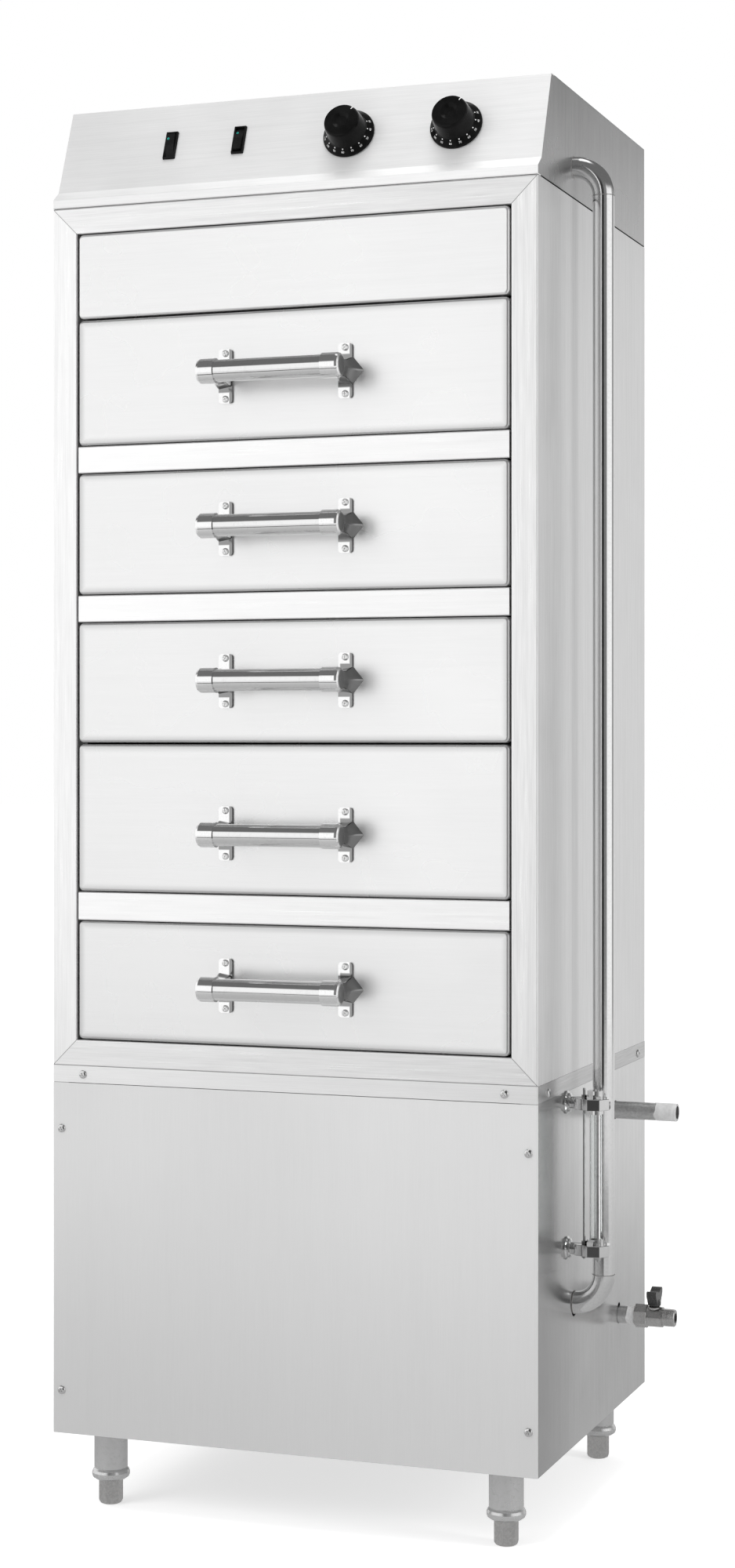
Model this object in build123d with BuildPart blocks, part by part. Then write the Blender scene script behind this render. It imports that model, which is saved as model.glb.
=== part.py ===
from build123d import *
import math
import os

# A dim sum steam cabinet: a water tank in its base, five perforated drawers in a steam
# chamber above it, and a sloped control box on top. Millimetres, +Z up.
# Places are given from the cabinet's left side (x), its front face (y, positive to the
# back) and the floor (z). The model's origin is the middle of the bottom of its box.

# Overall size
WIDTH = 600
DEPTH = 485
BASE_BOTTOM = 92
BASE_TOP = 529
CABINET_TOP = 1546
HEIGHT = 1671.5

# Sheet metal
SHEET = 1.0
BEND = 1.5
HAIRLINE = 0.2
SEAM = 0.5
EDGE_ROUND = 0.8
HOLE_MARGIN = 0.8

# Base
RIM_HEIGHT = 20
RIM_SHELF = 22
FLANGE = 20
LEG_X = 52
LEG_FRONT = 50
LEG_REAR = 449
LEG_RADIUS = 20
LEG_WALL = 2.5
LEG_BOTTOM = 44
COLLAR_BOTTOM = 30
COLLAR_RADIUS = 22.65
PAD_SIZE = 64
PAD_THICKNESS = 4
FOOT_ACROSS_FLATS = 25
FOOT_TOP = COLLAR_BOTTOM - 0.4
FOOT_TRAVEL = 30
STEM_RADIUS = 6
INSERT_HEIGHT = 10
RUNNING_FIT = 0.05

# Front frame, drawers and rails
FRAME_FACE = 31
FRAME_RETURN = 20
FRAME_FOLD = 2.2
FRONT_GAP = 2
FRONT_THICKNESS = 18
FRONT_FOLD = 3.5
FRONT_CORNER = 6
RAIL_SIDE_GAP = 2.2
LUG_DEPTH = 4
LUG_REACH = 14
SEAM_GAP = 0.9
# heights of the drawer fronts between their seams, from the top drawer down
DRAWER_SEAMS = [
    (1262.7, 1413.0),
    (1086.3, 1231.2),
    (911.2, 1054.8),
    (735.3, 911.2),
    (560.0, 702.0),
]
RAIL_SEAMS = [(1231.2, 1262.7), (1054.8, 1086.3), (702.0, 735.3)]
BLANK_BOTTOM = 1413
TOP_HANDLE_Z = 1337.3
HANDLE_PITCH = 176.8
DRAWERS = len(DRAWER_SEAMS)

# Drawer boxes and their runners
TRAY_BELOW_HANDLE = 64
TRAY_ABOVE_HANDLE = 50
TRAY_X = 52
TRAY_BACK = 438
TRAY_LIP = 12
TRAY_FLANGE = 13.5
TRAY_FLANGE_START = 23
SHELF_HOLE_RADIUS = 8
SHELF_HOLES_X = 11
SHELF_HOLES_Y = 8
LINER_X = 35
LINER_FRONT = 20.5
LINER_BACK = 452
LINER_TOP = 1512
WOOL_GAP = 1
RUNNER_X = 35.2
RUNNER_REACH = 14.8
RUNNER_BELOW = 0.5
RUNNER_ABOVE = 1.8
RUNNER_END_GAP = 2

# Handles
HANDLE_X = 297.7
HANDLE_OUT = 50
HANDLE_TUBE_RADIUS = 12.7
HANDLE_TUBE_WALL = 1.5
CAP_RADIUS = 14.5
CAP_INNER = 65.5
CAP_OUTER = 88
CAP_WALL = 6
BRACKET_X = 74.2
TAB_WIDTH = 17
TAB_HEIGHT = 63
TAB_THICKNESS = 3
TAB_CORNER = 4
TAB_SCREW = 26.5
TAB_HOLE_RADIUS = 2.2

# Control box
LEDGE_TOP = (14.0, 1568.0)
FLANGE_TOP = 1557
SLOPE_TOP_Y = 54
HOOD_BACK = 482
SWITCH_X = [138, 225.5]
SWITCH_S = 54.3
BEZEL = (15.6, 37, 2.4)
SWITCH_BODY = (13.4, 34, 20)
SWITCH_CAVITY = (11.2, 32.6, 11)
BEZEL_TAPER = 12
BLADE = (4.8, 0.8, 8)
BLADE_PITCH = 8
ROCKER_WIDTH = 10.2
ROCKER_ROUND = 0.4
ROCKER_TILT = 10
ROCKER_PIVOT = -2
PIVOT_RADIUS = 1.2
PIN_REACH = 1.1
DIAL_X = [363.8, 494.2]
DIAL_S = 50.4
DIAL_RADIUS = 31.1
DIAL_CLEARANCE = 0.6
DIAL_SOCKET = 17
SPINDLE_RADIUS = 3
SPINDLE_DEPTH = 16
THERMOSTAT = (42, 42, 30)
THERMOSTAT_CORNER = 3
THERMOSTAT_FACE = -1.3
THERMOSTAT_BLADE = (6.3, 0.8, 9)
THERMOSTAT_BLADE_PITCH = 12
GLAND_X = 500
GLAND_Z = 1600
GLAND_RADIUS = 11
GLAND_THREAD = 8
GLAND_NUT = 6
GLAND_BORE = 5
GLAND_END = 507
TERMINAL_X = (410, 470)
TERMINAL_Y = (400, 424)
TERMINAL_HEIGHT = 22

# Conduit
CONDUIT_X = 635.5
CONDUIT_Y = 150
CONDUIT_RADIUS = 12.7
CONDUIT_WALL = 1.5
CONDUIT_BEND = 35
CONDUIT_BOTTOM = 295
CONDUIT_TOP = 1547
CONDUIT_INSIDE = 586
WELD = 0.3
# the openings in the base wall are a little low at the elbow and high at the drain
ELBOW_HOLE_DROP = 5
ELBOW_HOLE_RADIUS = 11.2
DRAIN_HOLE_RISE = 8
DRAIN_HOLE_RADIUS = 6.5

# Tank and what goes into it
TANK_X = (36, 564)
TANK_Y = (36, 450)
TANK_BOTTOM = 185
TANK_RIM = 524.5
TANK_WALL = 1.5
TANK_RIM_EDGE = 14
GAUGE_X = 634
GAUGE_Y = 117.5
GAUGE_LEVELS = (329, 497)
GAUGE_BODY_FLATS = 34
GAUGE_BODY_TURN = 30.5
GAUGE_BOSS_RADIUS = 12.5
GAUGE_BOSS_BACK = 13
GAUGE_BODY_HEIGHT = 13
GAUGE_NECK_RADIUS = 7
GAUGE_NECK_INSIDE = 3
GAUGE_CHAMFER = 0.5
GLASS_RADIUS = 6.5
GLASS_WALL = 1.5
GLASS_SEAT = 2
GLAND_NUT_FLATS = (17, 16)
GLAND_NUT_HEIGHT = (5.5, 8.5)
ROD_RADIUS = 1.5
ROD_CIRCLE = 13
ROD_ANGLES = (60, 180, 300)
ROD_ENDS = (4.5, 11)
ROD_NUT = 3
ROD_NUT_FLATS = 5.5
INLET_Y = 338
INLET_Z = 460
INLET_THREAD = 652
INLET_END = 678
PIPE_RADIUS = 10.65
PIPE_BORE = 8
THREAD_RADIUS = 10.48
DRAIN_Y = 355
DRAIN_Z = 205
NIPPLE_END = 632
VALVE_X = 645
VALVE_HEX_START = 621
VALVE_HEX_END = 637
VALVE_BODY_END = 656
VALVE_END = 671.5
VALVE_HEX_FLATS = 25
VALVE_BODY_RADIUS = 12.25
VALVE_CHAMFER = 0.8
VALVE_BORE = 6
VALVE_SOCKET_END = 633
BALL_RADIUS = 8.5
BALL_GAP = 0.3
BALL_BORE = 5
VALVE_SPINDLE_RADIUS = 3
VALVE_NECK_TOP = 13.5
WING_THICKNESS = 12
HEATER_X = [180, 420]
HEATER_Z = 222
HEATER_RADIUS = 4
HEATER_HALF_SPREAD = 45
HEATER_SIDES = (-HEATER_HALF_SPREAD, HEATER_HALF_SPREAD)
HEATER_START = 16
HEATER_END = 395
BUSH_RADIUS = 9
BUSH_FLATS = 22
BUSH_NUT = 6
INLET_BLOCK_X = (518, 549)
INLET_BLOCK_Z = (457, 472)
INLET_JET_RADIUS = 5
INLET_JET_START = 540
FORK_OUTER = 12
FORK_INNER = 7
FORK_DROP = 6
FLOAT_PIVOT = (532, 451)
FLOAT_PIN_RADIUS = 2
FLOAT_HUB = (5, 6)
FLOAT_ARM_RADIUS = 2.5
FLOAT_X = 424
FLOAT_Z = 405
FLOAT_RADIUS = 28

# Screws
SCREW_HEAD = 2.2
SCREW_RADIUS = 1.9
SCREW_LENGTH = 9
FRONT_SCREWS = [(11, 454), (WIDTH - 11, 454), (11, 143), (WIDTH - 11, 143)]
RIM_SCREWS = [(39, 519), (WIDTH - 39, 519)]
SIDE_SCREWS = [(42, 517), (449, 517)]

# The model's box runs from the left side screws to the end of the inlet, and from the
# handle caps to the cable gland, which sets where the cabinet stands about its origin.
HANDLE_REACH = HANDLE_OUT + CAP_RADIUS
SIDE_X = -(INLET_END - SCREW_HEAD) / 2
FRONT_Y = -(GLAND_END - HANDLE_REACH) / 2

# The slope of the control panel
SLOPE = math.atan2(SLOPE_TOP_Y - LEDGE_TOP[0], HEIGHT - LEDGE_TOP[1])


def at(x, y, z):
    """A place given from the cabinet's left side, its front face and the floor."""
    return (SIDE_X + x, FRONT_Y + y, z)


def facing_front(y=0):
    """A plane whose sketches are drawn in x and z, and whose pieces grow to the front."""
    return Plane(at(0, y, 0), x_dir=(1, 0, 0), z_dir=(0, -1, 0))


def facing_right(x=0):
    """A plane whose sketches are drawn in y and z, and whose pieces grow to the right."""
    return Plane(at(x, 0, 0), x_dir=(0, 1, 0), z_dir=(1, 0, 0))


def facing_up(z=0):
    """A plane whose sketches are drawn in x and y, and whose pieces grow upwards."""
    return Plane(at(0, 0, z), x_dir=(1, 0, 0), z_dir=(0, 0, 1))


def slope_place(s, n):
    """A y and z on the control panel: s along its slope from the ledge, n out of its face."""
    y = LEDGE_TOP[0] + s * math.sin(SLOPE) - n * math.cos(SLOPE)
    z = LEDGE_TOP[1] + s * math.cos(SLOPE) + n * math.sin(SLOPE)
    return y, z


def on_slope(x, s, n=0):
    """A plane on the control panel, with its origin there and its normal out of the panel."""
    normal = (0, -math.cos(SLOPE), math.sin(SLOPE))
    return Plane(at(x, *slope_place(s, n)), x_dir=(1, 0, 0), z_dir=normal)


def block(x, y, z, mode=Mode.ADD):
    """A box between two values each way."""
    with Locations(at(sum(x) / 2, sum(y) / 2, sum(z) / 2)):
        Box(x[1] - x[0], y[1] - y[0], z[1] - z[0], mode=mode)


def bent_sheet(plane, points, side, length):
    """A folded sheet: its outer line with rounded folds, thickened to one side."""
    with BuildSketch(plane) as section:
        with BuildLine():
            FilletPolyline(*points, radius=BEND)
            offset(amount=SHEET, side=side)
        make_face()
    extrude(section.sketch, amount=length)


def turned(plane, outline, mode=Mode.ADD):
    """Turns an outline of (radius, height) points about the normal of a plane."""
    meridian = Plane(plane.origin, x_dir=plane.x_dir, z_dir=-plane.y_dir)
    with BuildSketch(meridian) as section:
        Polygon(*outline, align=None)
    revolve(section.sketch, axis=Axis(plane.origin, plane.z_dir), mode=mode)


def bar(plane, radius, start, end, bore=0, mode=Mode.ADD):
    """A round bar or pipe along the normal of a plane, between two heights."""
    turned(plane, [(bore, start), (radius, start), (radius, end), (bore, end)], mode=mode)


def hexagon(plane, across_flats, start, end, turn=0, mode=Mode.ADD):
    """A nut or hexagon along the normal of a plane, between two heights."""
    with BuildSketch(plane.offset(start)) as section:
        RegularPolygon(radius=across_flats / 2, side_count=6, major_radius=False, rotation=turn)
    extrude(section.sketch, amount=end - start, mode=mode)


def drill(plane, places, radius, depth):
    """Round holes through a sheet, centred on the plane."""
    with BuildSketch(plane) as holes:
        with Locations(*places):
            Circle(radius)
    extrude(holes.sketch, amount=depth, both=True, mode=Mode.SUBTRACT)


def drill_front(places):
    drill(facing_front(0), places, SCREW_RADIUS + RUNNING_FIT, SCREW_LENGTH / 2)


def drill_sides():
    for side in (0, WIDTH):
        drill(facing_right(side), SIDE_SCREWS, SCREW_RADIUS + RUNNING_FIT, SCREW_LENGTH / 2)


def finish(builder, name):
    """Labels a finished piece and writes its file."""
    builder.part.label = name
    export_step(builder.part, f"parts/{name}.step")


os.makedirs("parts", exist_ok=True)

# Base: front panel, walls, floor and rim

BASE_WALL_TOP = BASE_TOP - RIM_HEIGHT

with BuildPart() as base_front:
    block((0, WIDTH), (0, SHEET), (BASE_BOTTOM, BASE_WALL_TOP - SEAM))
    front_corners = edges().filter_by(Axis.Z).group_by(Axis.Y)[0]
    fillet(front_corners, radius=EDGE_ROUND)
    drill_front(FRONT_SCREWS)
finish(base_front, "base_front")

with BuildPart() as base_walls:
    for side, fold in ((0, 1), (WIDTH, -1)):
        corner = [(side + fold * FLANGE, SHEET), (side, SHEET), (side, DEPTH)]
        bent_sheet(
            facing_up(BASE_BOTTOM),
            corner,
            Side.RIGHT if fold > 0 else Side.LEFT,
            BASE_WALL_TOP - BASE_BOTTOM,
        )
    back_x = (SHEET + HAIRLINE, WIDTH - SHEET - HAIRLINE)
    block(back_x, (DEPTH - SHEET, DEPTH), (BASE_BOTTOM, BASE_WALL_TOP))
    drill_front(FRONT_SCREWS)
    # where the conduit, the gauge, the inlet and the drain pass the right wall
    right_wall = facing_right(WIDTH)
    elbow_z = CONDUIT_BOTTOM - WELD - CONDUIT_BEND
    gauge_holes = [(GAUGE_Y, z) for z in GAUGE_LEVELS]
    for places, radius in (
        ([(CONDUIT_Y, elbow_z)], CONDUIT_RADIUS + HOLE_MARGIN),
        ([(CONDUIT_Y, elbow_z - ELBOW_HOLE_DROP)], ELBOW_HOLE_RADIUS),
        (gauge_holes, GAUGE_NECK_RADIUS + HOLE_MARGIN),
        ([(INLET_Y, INLET_Z)], PIPE_RADIUS + HOLE_MARGIN),
        ([(DRAIN_Y, DRAIN_Z)], THREAD_RADIUS + HOLE_MARGIN),
        ([(DRAIN_Y, DRAIN_Z + DRAIN_HOLE_RISE)], DRAIN_HOLE_RADIUS),
    ):
        drill(right_wall, places, radius, FLANGE / 2)
finish(base_walls, "base_walls")

with BuildPart() as base_floor:
    floor_y = (2 * SHEET + HAIRLINE, DEPTH - SHEET - HAIRLINE)
    floor_top = BASE_BOTTOM + SHEET
    block((SHEET + HAIRLINE, WIDTH - SHEET - HAIRLINE), floor_y, (BASE_BOTTOM, floor_top))
    # a thick pad welded over each leg
    pad_bottom = floor_top + HAIRLINE
    for x in (LEG_X, WIDTH - LEG_X):
        for y in (LEG_FRONT, LEG_REAR):
            pad_x = (x - PAD_SIZE / 2, x + PAD_SIZE / 2)
            pad_y = (y - PAD_SIZE / 2, y + PAD_SIZE / 2)
            block(pad_x, pad_y, (pad_bottom, pad_bottom + PAD_THICKNESS))
finish(base_floor, "base_floor")

with BuildPart() as base_rim:
    rim = (BASE_WALL_TOP + HAIRLINE, BASE_TOP)
    # the shelf that carries the tank's rim
    shelf_z = (TANK_RIM - SHEET, TANK_RIM)
    inner_front = SHEET + HAIRLINE
    inner_back = DEPTH - SHEET - HAIRLINE
    # front and back bands run the whole width, the side bands between them
    block((0, WIDTH), (0, SHEET), rim)
    fillet(edges().filter_by(Axis.Z).group_by(Axis.Y)[0], radius=EDGE_ROUND)
    block((0, WIDTH), (DEPTH - SHEET, DEPTH), rim)
    inside = (inner_front, WIDTH - inner_front)
    block(inside, (inner_front, RIM_SHELF), shelf_z)
    block(inside, (DEPTH - RIM_SHELF, inner_back), shelf_z)
    for band, shelf in (
        ((0, SHEET), (inner_front, RIM_SHELF)),
        ((WIDTH - SHEET, WIDTH), (WIDTH - RIM_SHELF, WIDTH - inner_front)),
    ):
        block(band, (inner_front, inner_back), rim)
        block(shelf, (RIM_SHELF + HAIRLINE, DEPTH - RIM_SHELF - HAIRLINE), shelf_z)
    drill_front(RIM_SCREWS)
    drill_sides()
finish(base_rim, "base_rim")

# Cabinet: outer panels, liner and insulation

for name, side, fold in (("side_panel_left", 0, 1), ("side_panel_right", WIDTH, -1)):
    with BuildPart() as side_panel:
        corner = [(side, FRAME_FOLD + HAIRLINE), (side, DEPTH), (side + fold * FLANGE, DEPTH)]
        bent_sheet(
            facing_up(BASE_TOP + HAIRLINE),
            corner,
            Side.LEFT if fold < 0 else Side.RIGHT,
            CABINET_TOP - BASE_TOP - 2 * HAIRLINE,
        )
        # the inner fold that the front frame is fixed to
        inner = sorted((side + fold * (SHEET + HAIRLINE), side + fold * FLANGE))
        block(inner, (2 * SHEET, 3 * SHEET), (BASE_TOP + SEAM, CABINET_TOP - SEAM))
    finish(side_panel, name)

with BuildPart() as back_panel:
    panel_x = (SHEET + HAIRLINE, WIDTH - SHEET - HAIRLINE)
    panel_back = DEPTH - SHEET - HAIRLINE
    block(panel_x, (panel_back - SHEET, panel_back), (BASE_TOP + SEAM, CABINET_TOP - SHEET - SEAM))
    block(panel_x, (FRAME_RETURN + SEAM, panel_back), (CABINET_TOP - SHEET, CABINET_TOP))
finish(back_panel, "back_panel")

LINER_BOTTOM = TANK_RIM + SHEET + SEAM

with BuildPart() as liner:
    liner_z = (LINER_BOTTOM, LINER_TOP)
    for side, fold in ((LINER_X, 1), (WIDTH - LINER_X, -1)):
        plate = sorted((side - fold * SHEET, side))
        flange = sorted((side - fold * FLANGE, side - fold * (SHEET + HAIRLINE)))
        block(plate, (LINER_FRONT, LINER_BACK), liner_z)
        block(flange, (LINER_FRONT, LINER_FRONT + SHEET), liner_z)
    between = (LINER_X + HAIRLINE, WIDTH - LINER_X - HAIRLINE)
    block(between, (LINER_BACK - SHEET, LINER_BACK), liner_z)
    block(between, (LINER_FRONT, LINER_BACK - SHEET - HAIRLINE), (LINER_TOP - SHEET, LINER_TOP))
    # the sill under the lowest drawer
    sill_top = BASE_TOP + FRAME_FACE - SEAM
    block(between, (LINER_FRONT, LINER_FRONT + SHEET), (LINER_BOTTOM, sill_top))
finish(liner, "liner")

with BuildPart() as insulation:
    slab_z = (BASE_TOP + FRAME_FOLD + SHEET, LINER_TOP)
    slab_y = (LINER_FRONT + SHEET + WOOL_GAP, LINER_BACK)
    slab_x = (SHEET + WOOL_GAP, WIDTH - SHEET - WOOL_GAP)
    inner_left = LINER_X - SHEET - WOOL_GAP
    block((slab_x[0], inner_left), slab_y, slab_z)
    block((WIDTH - inner_left, slab_x[1]), slab_y, slab_z)
    block(slab_x, (LINER_BACK + WOOL_GAP, panel_back - SHEET - WOOL_GAP), slab_z)
    block(slab_x, slab_y, (LINER_TOP + WOOL_GAP, CABINET_TOP - SHEET - WOOL_GAP))
finish(insulation, "insulation")

# Front frame: four mitred channels and three rails

OUTER_X = (0, WIDTH)
OUTER_Z = (BASE_TOP, CABINET_TOP)
INNER_X = (FRAME_FACE, WIDTH - FRAME_FACE)
INNER_Z = (BASE_TOP + FRAME_FACE, CABINET_TOP - FRAME_FACE)


def frame_member(plane, fold, opening, side, length, face):
    """One channel of the frame, cut to its mitres by the outline of its face."""
    with BuildPart() as member:
        if plane == "upright":
            points = [(fold, FRAME_FOLD), (fold, 0), (opening, 0), (opening, FRAME_RETURN)]
            bent_sheet(facing_up(BASE_TOP), points, side, length)
        else:
            points = [(FRAME_FOLD, fold), (0, fold), (0, opening), (FRAME_RETURN, opening)]
            bent_sheet(facing_right(0), points, side, length)
        with BuildSketch(facing_front(0)):
            Polygon(*face, align=None)
            offset(amount=-HAIRLINE / 2, kind=Kind.INTERSECTION)
        extrude(amount=-FRAME_RETURN, mode=Mode.INTERSECT)
    return member.part


# the mitred face of each member, from its outer corners to its inner ones
left_face = [
    (OUTER_X[0], OUTER_Z[0]),
    (INNER_X[0], INNER_Z[0]),
    (INNER_X[0], INNER_Z[1]),
    (OUTER_X[0], OUTER_Z[1]),
]
sill_face = [
    (OUTER_X[0], OUTER_Z[0]),
    (OUTER_X[1], OUTER_Z[0]),
    (INNER_X[1], INNER_Z[0]),
    (INNER_X[0], INNER_Z[0]),
]
right_face = [(WIDTH - x, z) for x, z in left_face]
head_face = [(x, BASE_TOP + CABINET_TOP - z) for x, z in sill_face]
frame_height = CABINET_TOP - BASE_TOP
frame_members = [
    frame_member("upright", OUTER_X[0], INNER_X[0], Side.LEFT, frame_height, left_face),
    frame_member("upright", OUTER_X[1], INNER_X[1], Side.RIGHT, frame_height, right_face),
    frame_member("level", OUTER_Z[0], INNER_Z[0], Side.RIGHT, WIDTH, sill_face),
    frame_member("level", OUTER_Z[1], INNER_Z[1], Side.LEFT, WIDTH, head_face),
]

with BuildPart() as front_frame:
    add(frame_members)
    rail_x = (INNER_X[0] + RAIL_SIDE_GAP, INNER_X[1] - RAIL_SIDE_GAP)
    for bottom, top in RAIL_SEAMS:
        points = [(FRAME_RETURN, bottom), (0, bottom), (0, top), (FRAME_RETURN, top)]
        bent_sheet(facing_right(rail_x[0]), points, Side.RIGHT, rail_x[1] - rail_x[0])
        # lugs that carry the rail from the returns of the frame
        ends = ((rail_x[0], INNER_X[0] + HAIRLINE), (rail_x[1], INNER_X[1] - HAIRLINE))
        for inner, outer in ends:
            reach = sorted((outer, inner + math.copysign(LUG_REACH, inner - outer)))
            lug_y = (FRAME_RETURN - LUG_DEPTH, FRAME_RETURN - LUG_DEPTH + SHEET)
            block(reach, lug_y, (bottom + SHEET, top - SHEET))
finish(front_frame, "front_frame")

# Folded fronts: five drawers and the blank strip above them

FRONT_X = (INNER_X[0] + FRONT_GAP, INNER_X[1] - FRONT_GAP)


def folded_front(bottom, top):
    """A sheet pan with rounded folds, open at its back."""
    block(FRONT_X, (0, FRONT_THICKNESS), (bottom, top))
    fillet(edges().filter_by(Axis.Y), radius=FRONT_CORNER)
    fillet(faces().sort_by(Axis.Y)[0].edges(), radius=FRONT_FOLD)
    hollow_x = (FRONT_X[0] + FRONT_FOLD, FRONT_X[1] - FRONT_FOLD)
    hollow_z = (bottom + FRONT_FOLD, top - FRONT_FOLD)
    block(hollow_x, (FRONT_FOLD, FRONT_THICKNESS), hollow_z, mode=Mode.SUBTRACT)


with BuildPart() as blank_panel:
    folded_front(BLANK_BOTTOM + SEAM_GAP, INNER_Z[1] - SEAM_GAP)
finish(blank_panel, "blank_panel")

TRAY_INNER_X = (TRAY_X + SHEET, WIDTH - TRAY_X - SHEET)
TRAY_FRONT = FRONT_THICKNESS + SHEET


def drawer_tray(handle_z, bottom, top):
    """A drawer box of welded plates: walls, hanging flanges, a lip at the bottom, a shelf."""
    tray_z = (handle_z - TRAY_BELOW_HANDLE, handle_z + TRAY_ABOVE_HANDLE)
    # the backing of the front, which is also the front wall of the box
    backing_x = (FRONT_X[0] + FRONT_FOLD, FRONT_X[1] - FRONT_FOLD)
    block(backing_x, (FRONT_THICKNESS, TRAY_FRONT), (bottom + FRONT_FOLD, top - FRONT_FOLD))
    # side walls, with the flanges that hang in the runners
    inner_y = (TRAY_FRONT, TRAY_BACK - SHEET)
    flange_z = (tray_z[1] - SHEET, tray_z[1])
    for outer, inwards in ((TRAY_X, 1), (WIDTH - TRAY_X, -1)):
        wall = sorted((outer, outer + inwards * SHEET))
        block(wall, (TRAY_FRONT + HAIRLINE, TRAY_BACK), tray_z)
        flange = sorted((outer - inwards * TRAY_FLANGE, outer - inwards * HAIRLINE))
        block(flange, (TRAY_FLANGE_START, TRAY_BACK), flange_z)
    clear_x = (TRAY_INNER_X[0] + HAIRLINE, TRAY_INNER_X[1] - HAIRLINE)
    block(clear_x, (inner_y[1], TRAY_BACK), tray_z)
    # the lip all round the bottom
    lip_x = (TRAY_INNER_X[0] + TRAY_LIP, TRAY_INNER_X[1] - TRAY_LIP)
    lip_y = (inner_y[0] + TRAY_LIP, inner_y[1] - TRAY_LIP)
    lip_z = (tray_z[0], tray_z[0] + SHEET)
    clear_y = (inner_y[0] + HAIRLINE, inner_y[1] - HAIRLINE)
    block((clear_x[0], lip_x[0]), clear_y, lip_z)
    block((lip_x[1], clear_x[1]), clear_y, lip_z)
    between_x = (lip_x[0] + HAIRLINE, lip_x[1] - HAIRLINE)
    block(between_x, (clear_y[0], lip_y[0]), lip_z)
    block(between_x, (lip_y[1], clear_y[1]), lip_z)
    # the perforated shelf that lies on the lip
    shelf_x = (TRAY_INNER_X[0] + SEAM, TRAY_INNER_X[1] - SEAM)
    shelf_y = (inner_y[0] + SEAM, inner_y[1] - SEAM)
    shelf_bottom = tray_z[0] + SHEET + HAIRLINE
    with BuildSketch(facing_up(shelf_bottom)) as shelf:
        with Locations((sum(shelf_x) / 2, sum(shelf_y) / 2)):
            Rectangle(shelf_x[1] - shelf_x[0], shelf_y[1] - shelf_y[0])
            pitch_x = (lip_x[1] - lip_x[0]) / SHELF_HOLES_X
            pitch_y = (lip_y[1] - lip_y[0]) / SHELF_HOLES_Y
            with GridLocations(pitch_x, pitch_y, SHELF_HOLES_X, SHELF_HOLES_Y):
                Circle(SHELF_HOLE_RADIUS, mode=Mode.SUBTRACT)
    extrude(shelf.sketch, amount=SHEET)


# sections of a handle bracket's arm, from the drawer's face out to its cap: how far each
# stands out, the x of its inner side, its shoulder and its tip, and its half height
ARM_SECTIONS = [
    (0.2, 66.5, 83.0, 96.0, 15.5),
    (TAB_THICKNESS + 2, 66.5, 82.8, 93.0, 14.5),
    (16, 67.5, 82.0, 88.5, 11.5),
    (30, 68.0, 82.0, 87.0, 10.5),
    (45, 68.5, 82.0, 86.0, 10.5),
]
ARM_ROUND = 2.6
ARM_CHEEK = 0.8


def handle_bracket(direction, handle_z):
    """One bracket: a tab on the drawer, an arm that flares into a lobe, and a cap."""
    tab_x = HANDLE_X + direction * BRACKET_X
    with BuildSketch(facing_front(0)) as tab:
        with Locations((tab_x, handle_z)):
            RectangleRounded(TAB_WIDTH, TAB_HEIGHT, radius=TAB_CORNER)
        with Locations((tab_x, handle_z - TAB_SCREW), (tab_x, handle_z + TAB_SCREW)):
            Circle(TAB_HOLE_RADIUS, mode=Mode.SUBTRACT)
    extrude(tab.sketch, amount=TAB_THICKNESS)
    arm_sections = []
    for out, inner, shoulder, tip, half in ARM_SECTIONS:
        outline = [
            (inner, -half * ARM_CHEEK),
            (shoulder, -half),
            (tip, 0),
            (shoulder, half),
            (inner, half * ARM_CHEEK),
        ]
        places = [(HANDLE_X + direction * x, handle_z + z) for x, z in outline]
        with BuildSketch(facing_front(-out)) as section:
            Polygon(*places, align=None)
            fillet(vertices(), radius=ARM_ROUND)
        arm_sections.append(section.sketch)
    loft(arm_sections)
    cap = Plane(at(HANDLE_X, -HANDLE_OUT, handle_z), x_dir=(0, 1, 0), z_dir=(direction, 0, 0))
    dome = [(0, CAP_INNER), (CAP_RADIUS, CAP_INNER), (CAP_RADIUS, CAP_OUTER - 4.5)]
    dome += [(CAP_RADIUS - 1.2, CAP_OUTER - 2), (CAP_RADIUS - 4, CAP_OUTER - 0.6), (0, CAP_OUTER)]
    turned(cap, dome)
    bore_end = CAP_OUTER - CAP_WALL
    bar(cap, HANDLE_TUBE_RADIUS + RUNNING_FIT, CAP_INNER - SHEET, bore_end, mode=Mode.SUBTRACT)


for number in range(1, DRAWERS + 1):
    seam_bottom, seam_top = DRAWER_SEAMS[number - 1]
    front_z = (seam_bottom + SEAM_GAP, seam_top - SEAM_GAP)
    handle_z = TOP_HANDLE_Z - HANDLE_PITCH * (number - 1)

    with BuildPart() as drawer_front:
        folded_front(*front_z)
    finish(drawer_front, f"drawer_{number}_front")

    with BuildPart() as tray:
        drawer_tray(handle_z, *front_z)
    finish(tray, f"drawer_{number}_tray")

    with BuildPart() as handle_tube:
        middle = Plane(at(HANDLE_X, -HANDLE_OUT, handle_z), x_dir=(0, 1, 0), z_dir=(1, 0, 0))
        tube_half = CAP_OUTER - CAP_WALL - SEAM
        tube_bore = HANDLE_TUBE_RADIUS - HANDLE_TUBE_WALL
        bar(middle, HANDLE_TUBE_RADIUS, -tube_half, tube_half, bore=tube_bore)
    finish(handle_tube, f"drawer_{number}_handle_tube")

    with BuildPart() as handle_brackets:
        for direction in (-1, 1):
            handle_bracket(direction, handle_z)
    finish(handle_brackets, f"drawer_{number}_handle_brackets")

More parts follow.
